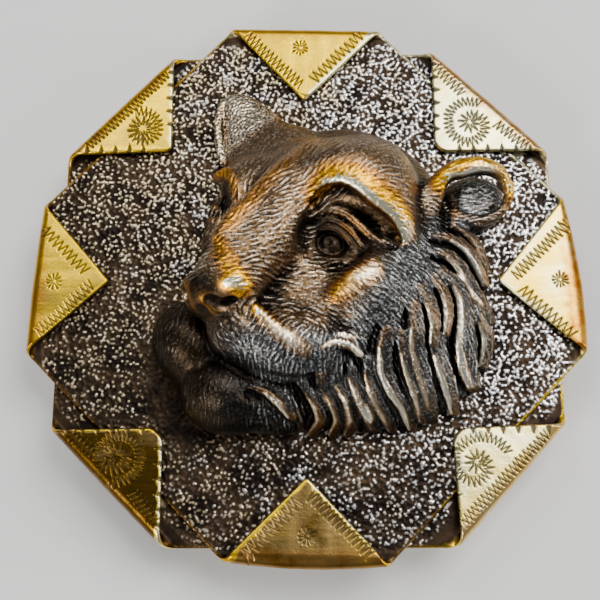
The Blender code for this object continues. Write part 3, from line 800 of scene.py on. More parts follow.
    # near ear: back, rim in two runs, bowl, hair in the bowl
    mass((24.4, 11.6, 0.6), (5, 4.2, 4.2), turn=10, blend=1.2)
    strand([(17.4, 10.4, 5, 1.9), (19.2, 13.2, 6, 1.6), (21.8, 14.9, 6.8, 1.6), (24.8, 15.4, 6.8, 1.5),
            (27.6, 14.8, 6.2, 1.2), (29, 13.2, 5.4, 0.8)], blend=1.2)
    strand([(29, 13.2, 5.4, 0.8), (29.2, 11.2, 4.8, 0.7), (27.8, 9.2, 4.2, 0.7), (25, 8.2, 3.8, 0.9),
            (21.6, 8.6, 4.4, 1.2)], blend=0.6)
    mass((25, 11.6, 6.8), (4.1, 2.9, 2.7), turn=12, blend=0.6, carve=True)
    mass((21.6, 12.4, 6.8), (1.6, 1.4, 3), turn=20, blend=0.6, carve=True)
    for hair in EAR_HAIRS:
        strand(hair, blend=0.35)
    # far ear: a broad flat plate, and its far edge behind it
    strand([(-9.6, 18.5, 2.2, 2.4), (-10.7, 24, 0.9, 1.8), (-11, 27.6, 0.5, 1.6)], blend=2.5)
    strand([(-7, 19, 2.6, 2.8), (-8.8, 24.4, 1, 2), (-9.3, 27.4, 0.5, 1.7)], blend=2.5)
    strand([(-4, 19.6, 3, 3), (-6.6, 23.6, 1.4, 2.2), (-7.8, 26.2, 0.7, 1.7)], blend=2.5)
    strand([(-1.6, 20, 3.2, 3), (-4.6, 22.4, 1.8, 2.2), (-5.8, 24.6, 1, 1.6)], blend=2.5)
    strand([(-12.2, 18, 3.2, 0.6), (-12.9, 21.6, 2.6, 0.6), (-13, 25, 2.2, 0.5), (-12.5, 28.2, 1.6, 0.4)],
           blend=0.4)

    locks = locks_on(clay)
    for lock in locks:
        strand(groove_of(lock), blend=0.9, carve=True)
    for lock in locks:
        strand(body_of(lock), blend=0.9)
    for lock in locks:
        strand(lock, blend=0.4)

    mass(HOLLOW_MIDDLE, HOLLOW_HALF, blend=0.05, carve=True)
    for x, y in SCREW_PLACES:
        clay.bore(x, y, SHANK_HOLE, SHANK_HOLE_DEPTH)
    clay.field = np.maximum(clay.field, HEAD_BASE - clay.axes[2])
    return clay, locks


# Locks of the mane and beard, from the ear down and round to the chin, through knots of x, y, least crest
# height and radius.
MANE_LOCKS = [
    [(20.9, 7, 5.6, 0.5), (22.9, 6, 4.8, 0.6), (24.4, 4.5, 3.8, 0.7), (26.1, 1.1, 2.2, 0.5)],
    [(18, 5, 7.4, 0.5), (20.6, 4.6, 6.6, 0.7), (22.7, 3.4, 5.6, 0.8), (24.2, 1.4, 4.4, 0.8),
     (25.5, -0.9, 2.8, 0.6)],
    [(17.6, 2.5, 8, 0.6), (19.9, 1.9, 7.4, 0.8), (21.6, 0.2, 6.6, 0.9), (22.9, -2.2, 5.6, 0.9),
     (24.5, -3.9, 4.4, 0.8), (26.2, -6.4, 2.4, 0.6)],
    [(18.6, -0.4, 8, 0.6), (20.6, -2.3, 7.4, 0.9), (21.4, -4.2, 7, 1), (21.5, -6.9, 6.4, 1.1),
     (21.2, -9.9, 5.6, 1.2), (21.6, -13.1, 4.6, 1.4), (22.8, -15.7, 3.4, 1.1)],
    [(23.5, -4.4, 5.4, 0.6), (24.4, -6.8, 4.4, 0.8), (25.2, -8.9, 3.4, 0.9), (24.7, -12.5, 2, 0.7)],
    [(15.1, -3.2, 9, 0.5), (16.5, -5.4, 8.6, 0.7), (17.1, -7.8, 8, 0.7), (17, -10.5, 7.4, 0.5)],
    [(17.4, -1.6, 8.4, 0.4), (18.8, -3.8, 8, 0.6), (19.2, -6.4, 7.4, 0.6), (19, -9, 6.8, 0.4)],
    [(17.2, -9.7, 7.8, 0.6), (17.7, -12.1, 7.2, 0.9), (18.7, -15, 6, 1), (19.7, -17.5, 4.2, 0.9),
     (20.3, -19.2, 2.4, 0.7)],
    [(14.2, -5.8, 9.2, 0.6), (14.4, -8.8, 8.8, 0.9), (14.4, -11.7, 8.2, 1), (15.5, -14.8, 6.8, 1),
     (16.4, -17.3, 4.8, 0.9), (17.2, -19.7, 2.4, 0.7)],
    [(12.6, -9.4, 9, 0.5), (12.9, -12, 8.4, 0.7), (13.8, -15.1, 7.2, 0.8), (14.9, -17.6, 5.2, 0.8),
     (15.9, -20.3, 2.4, 0.6)],
    [(10.6, -8.9, 9.2, 0.6), (10, -11.5, 8.8, 0.9), (10.2, -14.4, 8, 1), (11.4, -16.9, 6.4, 1),
     (13, -18.9, 4.4, 0.9), (14.4, -21.4, 2, 0.6)],
    [(8.2, -12.6, 8.8, 0.6), (8.1, -14.8, 8, 0.8), (8.9, -17.4, 6.2, 0.9), (10.4, -19.9, 4, 0.8),
     (11.6, -21.6, 2, 0.6)],
    [(6, -13.6, 8.2, 0.5), (5.9, -15.2, 7.8, 0.8), (6.7, -17.2, 6.4, 0.9), (8.1, -19.6, 4.6, 1.1),
     (9.1, -21.4, 2, 0.7)],
    [(3.7, -14.2, 8, 0.5), (4, -15.9, 7.2, 0.8), (5.4, -18.2, 5.4, 0.9), (6, -20.4, 3.4, 0.8),
     (5.4, -22, 1.6, 0.5)],
    [(1.6, -14.8, 8.2, 0.5), (2, -16.3, 7.4, 0.8), (3.3, -18.4, 5.6, 0.9), (4, -20.3, 3.4, 0.8),
     (3.2, -22, 1.6, 0.5)],
    [(-0.9, -15.8, 8.2, 0.5), (-0.1, -17, 7.4, 0.7), (1, -18.6, 5.8, 0.8), (1.5, -20.3, 3.6, 0.7),
     (0.4, -21.8, 1.6, 0.5)],
    [(-7.6, -16.4, 9, 0.5), (-5.6, -17, 8.6, 1.1), (-3.8, -18.4, 7.6, 1.2), (-2.4, -20.2, 6, 0.6)],
]
# How worn each lock's crest is, with a painted highlight along its left side, in the same order.
LOCK_WEAR_AND_HIGHLIGHT = [0.4, 1, 0.75, 0.95, 0.85, 0.55, 0.65, 0.95, 0.5, 0.5, 0.9, 0.35, 0.5, 0.4, 0.3, 0.3, 0.45]
LOCK_RISE = 0.75
CREST_SHARE = 0.62
BODY_ASIDE = 0.75
BODY_DROP = 1.45
GROOVE_ASIDE = 0.65
GROOVE_DROP = 0.7
GROOVE_RADII = (0.4, 0.8)


def locks_on(clay):
    """The locks' crests: bars a little out of the skin, or at their own height where they pass its edge."""
    laid = []
    for lock in MANE_LOCKS:
        knots = []
        for place, (x, y, crest, radius) in enumerate(lock):
            rise = LOCK_RISE * min(1.0, 0.3 + 0.5 * place)
            crest = max(crest, clay.top(x, y) + rise)
            knots.append((x, y, crest - CREST_SHARE * radius, CREST_SHARE * radius))
        laid.append(np.array(knots))
    return laid


def beside(lock, aside):
    """The lock's knots moved level towards the chin."""
    along = np.gradient(lock[:, :2], axis=0)
    along /= np.linalg.norm(along, axis=1, keepdims=True)
    moved = lock.copy()
    moved[:, :2] += np.stack([along[:, 1], -along[:, 0]], 1) * np.reshape(aside, (-1, 1))
    return moved


def body_of(lock):
    """The lock's broad side, that falls away from the crest."""
    full = lock[:, 3] / CREST_SHARE
    body = beside(lock, -BODY_ASIDE * full)
    body[:, 2] += lock[:, 3] - BODY_DROP * full
    body[:, 3] = full
    return body


def groove_of(lock):
    """The groove along a lock, on the side towards the chin."""
    deep = beside(lock, lock[:, 3] + GROOVE_ASIDE)
    deep[:, 2] += lock[:, 3] - GROOVE_DROP
    deep[:, 3] = np.linspace(*GROOVE_RADII, len(lock))
    return deep


# Tufts that cross the near ear's bowl.
EAR_HAIRS = [
    [(22.6, 12.6, 4.4, 0.35), (24.2, 12.8, 4.1, 0.35), (26.2, 13.6, 4.4, 0.25)],
    [(22.4, 11.2, 4.2, 0.35), (24.4, 11.2, 3.9, 0.35), (27.2, 12.4, 4.2, 0.25)],
    [(22.4, 9.9, 4.1, 0.35), (24.6, 9.8, 3.8, 0.35), (27.2, 10.8, 4, 0.25)],
]

# Which way the hair lies: (x, y, angle in degrees).
HAIR_LIES = [
    (-11, -1, 8), (-7, 3, 14), (-3.5, 7, 20), (-1, 11, 36), (-8, 8, 60), (-11, 12, 80),
    (-4, 15, 70), (1, 15.5, 62), (6, 16, 48), (12, 14.5, 25), (-2, 20, 70), (5, 21, 50),
    (12, 19, 25), (18, 15, 10), (-9, 22, 80), (-10.5, 26, 85),
    (14, 8, -5), (16, 4, -25), (12, 0, -32), (9, -4, -35), (4, -7, -30), (0, -6, -20),
    (-4, -4.5, -5), (0, -1, 10), (13, -5, -45), (9, -9, -50), (-6, -8, 60),
    (-3, -11, 60), (2, -11.5, 70), (-10, -10, -50), (-16, -9, 70), (-12, -16, 80),
    (-7, -19, -85), (-2, -19, -80), (3, -18, -70), (8, -15, -68), (12, -12, -62),
    (17, -9, -60), (21, -5, -55), (24, 0, -50), (21, 4, -30), (22, 15, 15),
    (27, 14, -20), (25, 8, 5), (22, -14, -80), (16, -18, -60), (10, -20, -65),
]
# Where there is less hair: (x, y, reach, share left).
BARE_SPOTS = [(-12.6, -5.6, 3, 0), (-12.6, -16.8, 6, 0.45), (-17.4, -9.6, 5.2, 0.5), (3.5, 3.2, 2.4, 0.2),
              (7, 5, 5, 0.35)]
# Painted shade: eye, under the nose, chin, far pad, beard's bottom: (x, y, height, reach, strength).
PAINTED_SHADE_SPOTS = [(3.4, 3.4, 10.4, 5, 0.85), (-12.8, 10, 7, 2.6, 0.85), (-12.6, -17, 7, 9, 0.86),
              (-17.6, -9.6, 5, 8, 0.88), (-5, -19, 5, 7, 0.8), (-14.2, -5.6, 14.8, 4.2, 0.9),
              (3, -20.8, 3, 7.5, 0.8), (12, -19.8, 3, 5, 0.6), (8, -18, 5, 6, 0.6),
              (-10.8, -9.4, 13, 3, 0.75), (3.4, 3.4, 11, 2.6, 0.93)]
HAIR_STEP = 0.1
HAIR_HALF = 33.0
HAIR_RUN = 5
HAIR_DEPTH = 0.15
HAIR_WIDTH = 0.58
HAIR_WAVER = 0.25
ROUGH_SHARE = 0.7


def hair_strokes():
    """Fine strokes that follow the hair: random grain smeared along the way it lies."""
    line = np.arange(-HAIR_HALF, HAIR_HALF, HAIR_STEP)
    x, y = np.meshgrid(line, line, indexing="ij")
    east = np.zeros_like(x)
    north = np.zeros_like(x)
    for cx, cy, degrees in HAIR_LIES:
        weight = 1.0 / ((x - cx) ** 2 + (y - cy) ** 2 + 1.0) ** 1.5
        east += weight * math.cos(math.radians(2 * degrees))
        north += weight * math.sin(math.radians(2 * degrees))
    angle = np.arctan2(north, east) / 2
    waver = band_noise(8, HAIR_HALF, HAIR_STEP, 5.0, 0.6)
    angle += HAIR_WAVER * waver.values[:len(line), :len(line)]
    way = np.stack([np.cos(angle), np.sin(angle)])
    grain = band_noise(9, HAIR_HALF, HAIR_STEP, HAIR_WIDTH, 0.5)
    total = np.zeros_like(x)
    for sign in (1.0, -1.0):
        place = np.stack([x, y])
        heading = sign * way
        for _ in range(HAIR_RUN):
            place += heading * HAIR_STEP
            total += grain.at(*place)
            i, j = np.clip(((place + HAIR_HALF) / HAIR_STEP).astype(int), 0, len(line) - 1)
            there = way[:, i, j]
            heading = there * np.where((there * heading).sum(axis=0) < 0.0, -1.0, 1.0)
    rough = grain.values[:len(line), :len(line)]
    total = total / total.std() + ROUGH_SHARE * rough / rough.std()
    return Raster(np.clip(total / 2.2, -1.0, 1.0), HAIR_HALF, HAIR_STEP)


# Where hands have rubbed the patina off, and where highlights are painted on the brow's edge, nose,
# cheekbone, lips and ear rim: the rubbed line through (x, y, height), its reach and its strength.
RUBBED_AND_HIGHLIGHT_LINES = [
    ([(1, 9, 13.8), (2.8, 10.4, 15.2), (4.9, 10.6, 15.9), (6.6, 9.8, 16.2), (8.2, 8.6, 15.9),
      (9.8, 7.4, 15.2), (11.4, 6.2, 14.4), (12.7, 4.8, 12.8), (13.4, 3.4, 11.2)], 1.5, 1),
    ([(0.4, 9, 14), (3.4, 11.4, 15.8), (6.4, 11.2, 16.2), (9.2, 9.5, 15.6), (12, 7.6, 14.4),
      (14.2, 4.6, 12.2)], 3, 0.7),
    ([(1.8, 16.5, 12.2), (-3.3, 12.5, 14.2), (-7.2, 7.5, 16.2), (-10, 3.6, 17.2)], 2.2, 0.42),
    ([(-11, 0.4, 17.2), (-9.6, -2, 17.6), (-8.4, -4.2, 16.8)], 2.8, 0.7),
    ([(-10.4, -4.2, 17.4), (-8.6, -3.8, 16.8)], 1.8, 0.9),
    ([(4.4, -4.6, 12), (6.2, -3.2, 13.2), (8.6, -1.6, 13.2)], 3, 0.6),
    ([(7, -2.6, 13.3), (8.6, -1.6, 13.1)], 1.6, 0.85),
    ([(-6.5, -7.1, 14.6), (-4.3, -9.2, 14), (-2.1, -11, 13.4), (-0.4, -12.1, 12.2)], 1.9, 0.66),
    ([(0.8, -12.8, 11.5), (2.1, -11.7, 12), (3.8, -10.9, 11.9), (5.8, -11.2, 11.3), (7.3, -12.4, 9.9)],
     0.55, 0.85),
    ([(4.6, -9.8, 11.6), (6.6, -10.2, 10.9)], 0.55, 0.75),
    ([(-12.4, 14.2, 8.6), (-11, 14, 9.6), (-9.8, 12, 10.4), (-9.2, 9.6, 10.8)], 1.5, 0.3),
    ([(18.8, 12.8, 7.4), (21.8, 15, 8.4), (25, 15.6, 8.4), (27.8, 14.8, 7.4), (29.2, 12.6, 6)], 2.4, 0.55),
    ([(20.6, 13.6, 7.6), (23, 14.4, 7.8), (26, 14.4, 7.6), (28, 13.2, 6.4)], 0.9, 0.95),
    ([(21.4, -12.4, 6), (22.4, -15.4, 4.6)], 1.9, 0.7),
    ([(8, -19.4, 5.6), (8.4, -20.2, 4.6)], 1.4, 0.8),
]


def line_distance(points, knots):
    """How far points are from a line through knots."""
    best = np.full(len(points), 99.0)
    for a, b in zip(knots, knots[1:]):
        along = b - a
        t = np.clip((points - a) @ along / (along @ along), 0.0, 1.0)
        best = np.minimum(best, np.linalg.norm(points - a - t[:, None] * along, axis=1))
    return best


SKIN_MARGIN = 0.3
LESS_HAIR_ON_LOCKS = 0.6
LESS_HAIR_ON_TOP = 0.55
LESS_HAIR_WHERE_RUBBED = 0.75
# Moves each lock's painted highlight off the crest, to its left and lower side.
HIGHLIGHT_ASIDE = (-0.2, -0.1, -0.1)
BOWL_MIDDLE = (25.0, 11.4)


def out_of_sight(x, y, z):
    """The flat back, the hollow and the screw holes."""
    hidden = z < HEAD_BASE + SKIN_MARGIN
    half = (HOLLOW_HALF[0] + SKIN_MARGIN, HOLLOW_HALF[1] + SKIN_MARGIN)
    hidden |= (in_oval(x, y, HOLLOW_MIDDLE, half) < 1.0) & (z < HEAD_BASE + HOLLOW_HALF[2] + SKIN_MARGIN)
    for sx, sy in SCREW_PLACES:
        in_hole = np.hypot(x - sx, y - sy) < SHANK_HOLE + SKIN_MARGIN
        hidden |= in_hole & (z < SHANK_HOLE_DEPTH + SKIN_MARGIN)
    return hidden


def hair_share(x, y, points, locks, far_ear):
    """How much of the hair's relief each place keeps."""
    share = np.where(out_of_sight(*points.T), 0.0, 1.0)
    for bx, by, reach, left in BARE_SPOTS:
        share *= left + (1.0 - left) * smooth_step(0.8, 1.25, np.hypot(x - bx, y - by) / reach)
    on_lock = np.zeros(len(points))
    for knots in locks:
        on_lock = np.maximum(on_lock, smooth_step(1.7, 0.9, line_distance(points, knots[1:, :3])))
    share *= 1.0 - LESS_HAIR_ON_LOCKS * on_lock
    share *= 1.0 - LESS_HAIR_ON_TOP * smooth_step(9.0, 15.0, y)
    return share * (1.0 - far_ear) + far_ear


def rubbed_and_highlight_share(points, locks):
    """How far the patina is rubbed off, by hands and along the crests of the locks, with painted highlights.
    """
    rubbed = np.zeros(len(points))
    for line, reach, strength in RUBBED_AND_HIGHLIGHT_LINES:
        distance = line_distance(points, np.array(line))
        rubbed = np.maximum(rubbed, strength * smooth_step(reach, 0.15 * reach, distance))
    # Painted highlight along each lock's crest, set off to its left side.
    for knots, strength in zip(locks, LOCK_WEAR_AND_HIGHLIGHT):
        line = knots[1:, :3] + HIGHLIGHT_ASIDE
        line[:, 2] += knots[1:, 3]
        from_end = np.minimum(*(np.linalg.norm(points - end, axis=1) for end in (line[0], line[-1])))
        reach = 0.3 + 0.35 * smooth_step(0.0, 3.0, from_end)
        share = smooth_step(1.0, 0.3, line_distance(points, line) / reach)
        rubbed = np.maximum(rubbed, strength * share)
    return rubbed


def build_head():
    """The head's mesh. Its finish values: worn bright with painted highlights, dark hollow with painted
    shade, cool mane, and the hair's strokes.
    """
    clay, locks = sculpt(HEAD_CELL)
    points, quads = clay.skin()
    near_shape = blur(clay.field, round(NEAR_SHAPE / HEAD_CELL))
    wide_shape = blur(clay.field, round(WIDE_SHAPE / HEAD_CELL))
    ridge_near = clay.sample(near_shape, points)
    ridge_wide = clay.sample(wide_shape, points)
    gradient = np.stack([clay.sample(g, points) for g in np.gradient(near_shape, HEAD_CELL)], 1)
    normal = gradient / (np.linalg.norm(gradient, axis=1, keepdims=True) + 1e-9)

    x, y, z = points.T
    flat_back = z < HEAD_BASE + 0.02
    far_ear = smooth_step(-1.2, 1.2, y - 18.7 - 0.8 * (x + 10.5)) * smooth_step(-1.5, -3.0, x)
    speckle = 2.0 * matting.at(1.5 * x, 1.5 * y) + 0.6
    strokes = hair_strokes().at(x, y) * (1.0 - far_ear) + speckle * far_ear
    rubbed = rubbed_and_highlight_share(points, locks)
    furred = hair_share(x, y, points, locks, far_ear) * smooth_step(0.1, 0.5, normal[:, 2])
    furred *= 1.0 - LESS_HAIR_WHERE_RUBBED * smooth_step(0.72, 1.0, rubbed)
    points = points + normal * (HAIR_DEPTH * np.clip(strokes, -1.0, 1.0) * furred)[:, None]

    crest = smooth_step(0.02, 0.5, ridge_wide)
    # Wear on crests and rubbed places, which also carries the painted highlights.
    wear_and_highlight = rubbed * (0.75 + 0.3 * crest) + 0.3 * crest * smooth_step(0.02, 0.16, ridge_near)
    wear_and_highlight = np.clip(wear_and_highlight + 0.2 * strokes * furred * (0.3 + rubbed), 0.0, 1.0)
    wear_and_highlight = np.maximum(wear_and_highlight, 0.85 * far_ear * smooth_step(-0.3, 0.8, strokes))

    hollow = smooth_step(-0.02, -0.35, ridge_wide) * 0.7 + smooth_step(0.0, -0.12, ridge_near) * 0.5
    # Painted shade in the eye, under the nose and on the chin, far pad and beard.
    for dx, dy, dz, reach, strength in PAINTED_SHADE_SPOTS:
        distance = np.sqrt((x - dx) ** 2 + (y - dy) ** 2 + (z - dz) ** 2)
        hollow = np.maximum(hollow, strength * smooth_step(reach, 0.6 * reach, distance) * (1.0 - rubbed))
    # Painted shadow beside the far ear's left edge.
    painted_shadow_behind_far_ear = smooth_step(-12.1, -12.5, x) * smooth_step(16.0, 18.0, y)
    hollow = np.maximum(hollow, 0.7 * painted_shadow_behind_far_ear)

    beside_brow = smooth_step(4.5, 1.5, y - np.clip(1.2 * (x - 13.0), 0.0, 6.0))
    bowl = smooth_step(4.2, 3.2, in_oval(x, y, BOWL_MIDDLE, (1.0, 1.0)))
    below = smooth_step(-7.0, -11.0, y) * smooth_step(-15.0, -9.0, x)
    mane = smooth_step(5.0, 12.0, x - 0.4 * y) * beside_brow + below + far_ear + bowl
    finish = np.stack([wear_and_highlight, np.clip(hollow, 0, 1), np.clip(mane, 0, 1), 0.5 + 0.5 * strokes * furred], 1)

    # the flat back keeps only its edge points
    under = flat_back[quads].all(axis=1)
    kept = quads[~under]
    faces = kept.tolist() + flat_cover(points, kept, quads[under])
    return make_mesh("lion_head_cast", points + (0.0, 0.0, FACE), faces, finish)


def flat_cover(points, kept, removed):
    """Triangles over the flat back, from the edges where it meets the rest."""
    ends = np.stack([removed, np.roll(removed, -1, axis=1)], 2).reshape(-1, 2)
    held = set(map(tuple, np.stack([kept, np.roll(kept, -1, axis=1)], 2).reshape(-1, 2).tolist()))
    border = [(a, b) for a, b in ends.tolist() if (b, a) in held]
    used = sorted({a for edge in border for a in edge})
    order = {number: place for place, number in enumerate(used)}
    flat = [Vector(points[number, :2]) for number in used]
    edges = [(order[a], order[b]) for a, b in border]
    _, _, faces, sources, _, _ = delaunay_2d_cdt(flat, edges, [], 2, 1e-6)
    names = [used[source[0]] for source in sources]
    return [[names[corner] for corner in reversed(face)] for face in faces]


lion_head = build_head()


# Materials

class Metal:
    """A metal whose colour, roughness and bump come from nodes."""

    def __init__(self, name):
        self.material = bpy.data.materials.new(name)
        self.material.use_nodes = True
        self.tree = self.material.node_tree
        self.shader = self.tree.nodes["Principled BSDF"]
        self.shader.inputs["Metallic"].default_value = 1.0
        self.place = self.node("ShaderNodeTexCoord").outputs["Object"]

    def node(self, kind, **inputs):
        made = self.tree.nodes.new(kind)
        for name, value in inputs.items():
            self.feed(made.inputs[name.replace("_", " ")], value)
        return made

    def feed(self, socket, value):
        if isinstance(value, bpy.types.NodeSocket):
            self.tree.links.new(value, socket)
        elif isinstance(value, tuple) and len(value) == 3 and socket.type == "RGBA":
            socket.default_value = (*value, 1.0)
        else:
            socket.default_value = value

    def finish(self):
        """The mesh's own four finish values."""
        source = self.node("ShaderNodeAttribute")
        source.attribute_name = "finish"
        parts = self.node("ShaderNodeSeparateColor", Color=source.outputs["Color"])
        return [*parts.outputs[:3], source.outputs["Alpha"]]

    def noise(self, size_mm, detail=4.0, stretch=(1.0, 1.0, 1.0), roughness=0.55):
        space = self.node("ShaderNodeMapping", Vector=self.place, Scale=stretch)
        made = self.node("ShaderNodeTexNoise", Vector=space.outputs[0], Scale=1.0 / (size_mm * MM),
                         Detail=detail, Roughness=roughness)
        return made.outputs["Fac"]

    def range(self, value, low, high, to_low=0.0, to_high=1.0):
        made = self.tree.nodes.new("ShaderNodeMapRange")
        made.interpolation_type = "SMOOTHSTEP"
        for socket, given in zip(made.inputs, (value, low, high, to_low, to_high)):
            self.feed(socket, given)
        return made.outputs[0]

    def math(self, operation, a, b):
        made = self.tree.nodes.new("ShaderNodeMath")
        made.operation = operation
        made.use_clamp = True
        self.feed(made.inputs[0], a)
        self.feed(made.inputs[1], b)
        return made.outputs[0]

    def mix(self, share, a, b):
        made = self.tree.nodes.new("ShaderNodeMix")
        made.data_type = "RGBA"
        self.feed(made.inputs[0], share)
        self.feed(made.inputs[6], a)
        self.feed(made.inputs[7], b)
        return made.outputs[2]

    def times(self, a, b):
        return self.math("MULTIPLY", a, b)

    def fade(self, value, low, high, below, above, most=1.0):
        """One colour that turns into another, or most of the way, as a value goes from low to high."""
        return self.mix(self.range(value, low, high, 0.0, most), below, above)

    def bump(self, height, depth_mm, strength, under=None):
        made = self.node("ShaderNodeBump", Height=height, Distance=depth_mm * MM, Strength=strength)
        if under is not None:
            self.feed(made.inputs["Normal"], under)
        return made.outputs[0]

    def done(self, colour, roughness, normal):
        self.feed(self.shader.inputs["Base Color"], colour)
        self.feed(self.shader.inputs["Roughness"], roughness)
        self.feed(self.shader.inputs["Normal"], normal)
        return self.material


PALE_BRASS = (0.98, 0.93, 0.52)
GOLD_BRASS = (1.0, 0.64, 0.0)
OLIVE_BRASS = (0.24, 0.155, 0.05)
DULL_BRASS = (0.09, 0.05, 0.006)
STAINED_BRASS = (0.40, 0.28, 0.10)
AMBER = (0.50, 0.17, 0.012)
TOOL_DARK = (0.035, 0.028, 0.018)
GROUND_DARK = (0.011, 0.008, 0.007)
GROUND_BROWN = (0.050, 0.032, 0.019)
WORN_COOL = (1.0, 0.98, 0.97)
WORN_WARM = (1.0, 0.80, 0.50)

PATINA_DARK = (0.12, 0.068, 0.030)
PATINA_BROWN = (0.25, 0.145, 0.065)
PATINA_COOL = (0.048, 0.060, 0.067)
PATINA_GROOVE = (0.018, 0.014, 0.012)
HOLLOW_PATINA_AND_SHADE = (0.012, 0.009, 0.007)
FLECK_GREY = (0.66, 0.64, 0.60)
HAIR_HIGHLIGHT_WARM = (0.78, 0.66, 0.49)
HAIR_HIGHLIGHT_COOL = (0.50, 0.53, 0.54)
GOLD_DEEP = (0.12, 0.045, 0.008)
GOLD_BROWN = (0.55, 0.23, 0.03)
GOLD_RUBBED = (0.82, 0.40, 0.0)
GOLD_HIGHLIGHT = (1.0, 0.93, 0.64)
SILVER_DARK = (0.30, 0.17, 0.06)
SILVER_HIGHLIGHT = (1.0, 0.95, 0.80)

PIT_BROWN = (0.12, 0.07, 0.03)
EDGE_BRIGHT = (0.95, 0.78, 0.42)


def sheet_metal(name):
    """Dark matted ground with worn ridges, and bright tooled brass, as the mesh's finish values tell."""
    metal = Metal(name)
    worn, matted, third, painted_light_tone = metal.finish()

    cloud = metal.noise(5.0, 5.0)
    speck = metal.noise(0.35, 3.0)
    scratch = metal.noise(1.2, 5.0, (0.12, 3.0, 1.0), 0.7)
    scratch_across = metal.noise(1.4, 5.0, (3.0, 0.15, 1.0), 0.7)

    ground = metal.fade(cloud, 0.35, 0.7, GROUND_DARK, GROUND_BROWN)
    ridge_colour = metal.fade(third, 0.2, 1.0, WORN_COOL, WORN_WARM)
    ridge = metal.times(worn, metal.range(speck, 0.3, 0.6, 0.5, 1.0))
    # Painted light: the ridges a little brighter towards the upper right.
    ridge = metal.times(ridge, metal.range(painted_light_tone, 0.1, 0.9, 0.88, 1.0))
    ground = metal.mix(ridge, ground, ridge_colour)
    ground_rough = metal.range(ridge, 0.0, 1.0, 0.46, 0.22)

    # Painted light: tabs paler to the right and darker to the lower left, with clouds of tarnish.
    painted_light_and_tarnish = metal.math("ADD", painted_light_tone, metal.range(cloud, 0.3, 0.75, -0.12, 0.1))
    bright = metal.fade(painted_light_and_tarnish, 0.0, 0.14, DULL_BRASS, OLIVE_BRASS)
    bright = metal.fade(painted_light_and_tarnish, 0.14, 0.5, bright, GOLD_BRASS)
    bright = metal.fade(painted_light_and_tarnish, 0.62, 1.0, bright, PALE_BRASS)
    bright = metal.fade(speck, 0.62, 0.75, bright, STAINED_BRASS, 0.3)
    amber = metal.times(third, metal.range(metal.noise(2.2, 4.0), 0.25, 0.6, 0.55, 1.0))
    amber = metal.times(amber, metal.range(painted_light_tone, 0.0, 0.5, 0.3, 1.0))
    bright = metal.mix(amber, bright, AMBER)
    inked = metal.times(metal.range(worn, 0.15, 0.75, 0.0, 0.9), metal.range(painted_light_tone, 0.0, 0.5, 0.45, 1.0))
    bright = metal.mix(inked, bright, TOOL_DARK)
    bright_rough = metal.range(scratch, 0.3, 0.7, 0.27, 0.34)
    bright_rough = metal.math("ADD", bright_rough, metal.range(worn, 0.1, 0.7, 0.0, 0.25))

    colour = metal.mix(matted, bright, ground)
    roughness = metal.node("ShaderNodeMix", Factor=matted, A=bright_rough, B=ground_rough).outputs[0]
    lines = metal.math("MAXIMUM", metal.range(scratch, 0.45, 0.75), metal.range(scratch_across, 0.5, 0.8))
    normal = metal.bump(lines, 0.008, 0.5)
    normal = metal.bump(speck, 0.04, 0.5, normal)
    return metal.done(colour, roughness, normal)


def cast_bronze():
    """Dark brown patina, greenish black in hollows, rubbed to gold where hands reach; painted highlights and
    shade.
    """
    metal = Metal("cast_bronze_patina")
    wear_and_highlight, hollow, mane, stroke = metal.finish()
    cloud = metal.noise(3.0, 5.0)
    grain = metal.noise(0.28, 4.0)
    fleck = metal.range(metal.noise(0.42, 2.0), 0.52, 0.66)
    patina = metal.fade(cloud, 0.3, 0.7, PATINA_DARK, PATINA_BROWN)
    patina = metal.mix(metal.times(mane, 0.85), patina, PATINA_COOL)
    patina = metal.mix(metal.range(stroke, 0.15, 0.45, 0.85, 0.0), patina, PATINA_GROOVE)
    hair_highlight_colour = metal.mix(mane, HAIR_HIGHLIGHT_WARM, HAIR_HIGHLIGHT_COOL)
    patina = metal.mix(metal.times(fleck, 0.3), patina, FLECK_GREY)
    # Hollow patina and painted shade darken it.
    patina = metal.mix(hollow, patina, HOLLOW_PATINA_AND_SHADE)
    # Painted highlight on the hair strokes' raised sides, weaker where shade is painted.
    lit = metal.times(metal.range(stroke, 0.58, 0.86, 0.0, 0.85), metal.range(hollow, 0.0, 1.0, 1.0, 0.4))
    patina = metal.mix(lit, patina, hair_highlight_colour)
    gold = metal.fade(stroke, 0.2, 0.6, GOLD_DEEP, GOLD_BROWN)
    gold = metal.fade(wear_and_highlight, 0.5, 0.8, gold, GOLD_RUBBED)
    # The most worn places take a painted highlight colour.
    gold = metal.fade(wear_and_highlight, 0.82, 1.0, gold, GOLD_HIGHLIGHT)
    silver = metal.fade(wear_and_highlight, 0.3, 0.85, SILVER_DARK, SILVER_HIGHLIGHT)
    rubbed = metal.mix(metal.times(mane, 0.75), gold, silver)
    share = metal.times(wear_and_highlight, metal.range(grain, 0.3, 0.6, 0.88, 1.0))
    colour = metal.fade(share, 0.05, 0.65, patina, rubbed)
    roughness = metal.range(share, 0.0, 0.8, 0.37, 0.29)
    normal = metal.bump(grain, 0.03, 0.5)
    normal = metal.bump(fleck, 0.05, 0.5, normal)
    return metal.done(colour, roughness, normal)


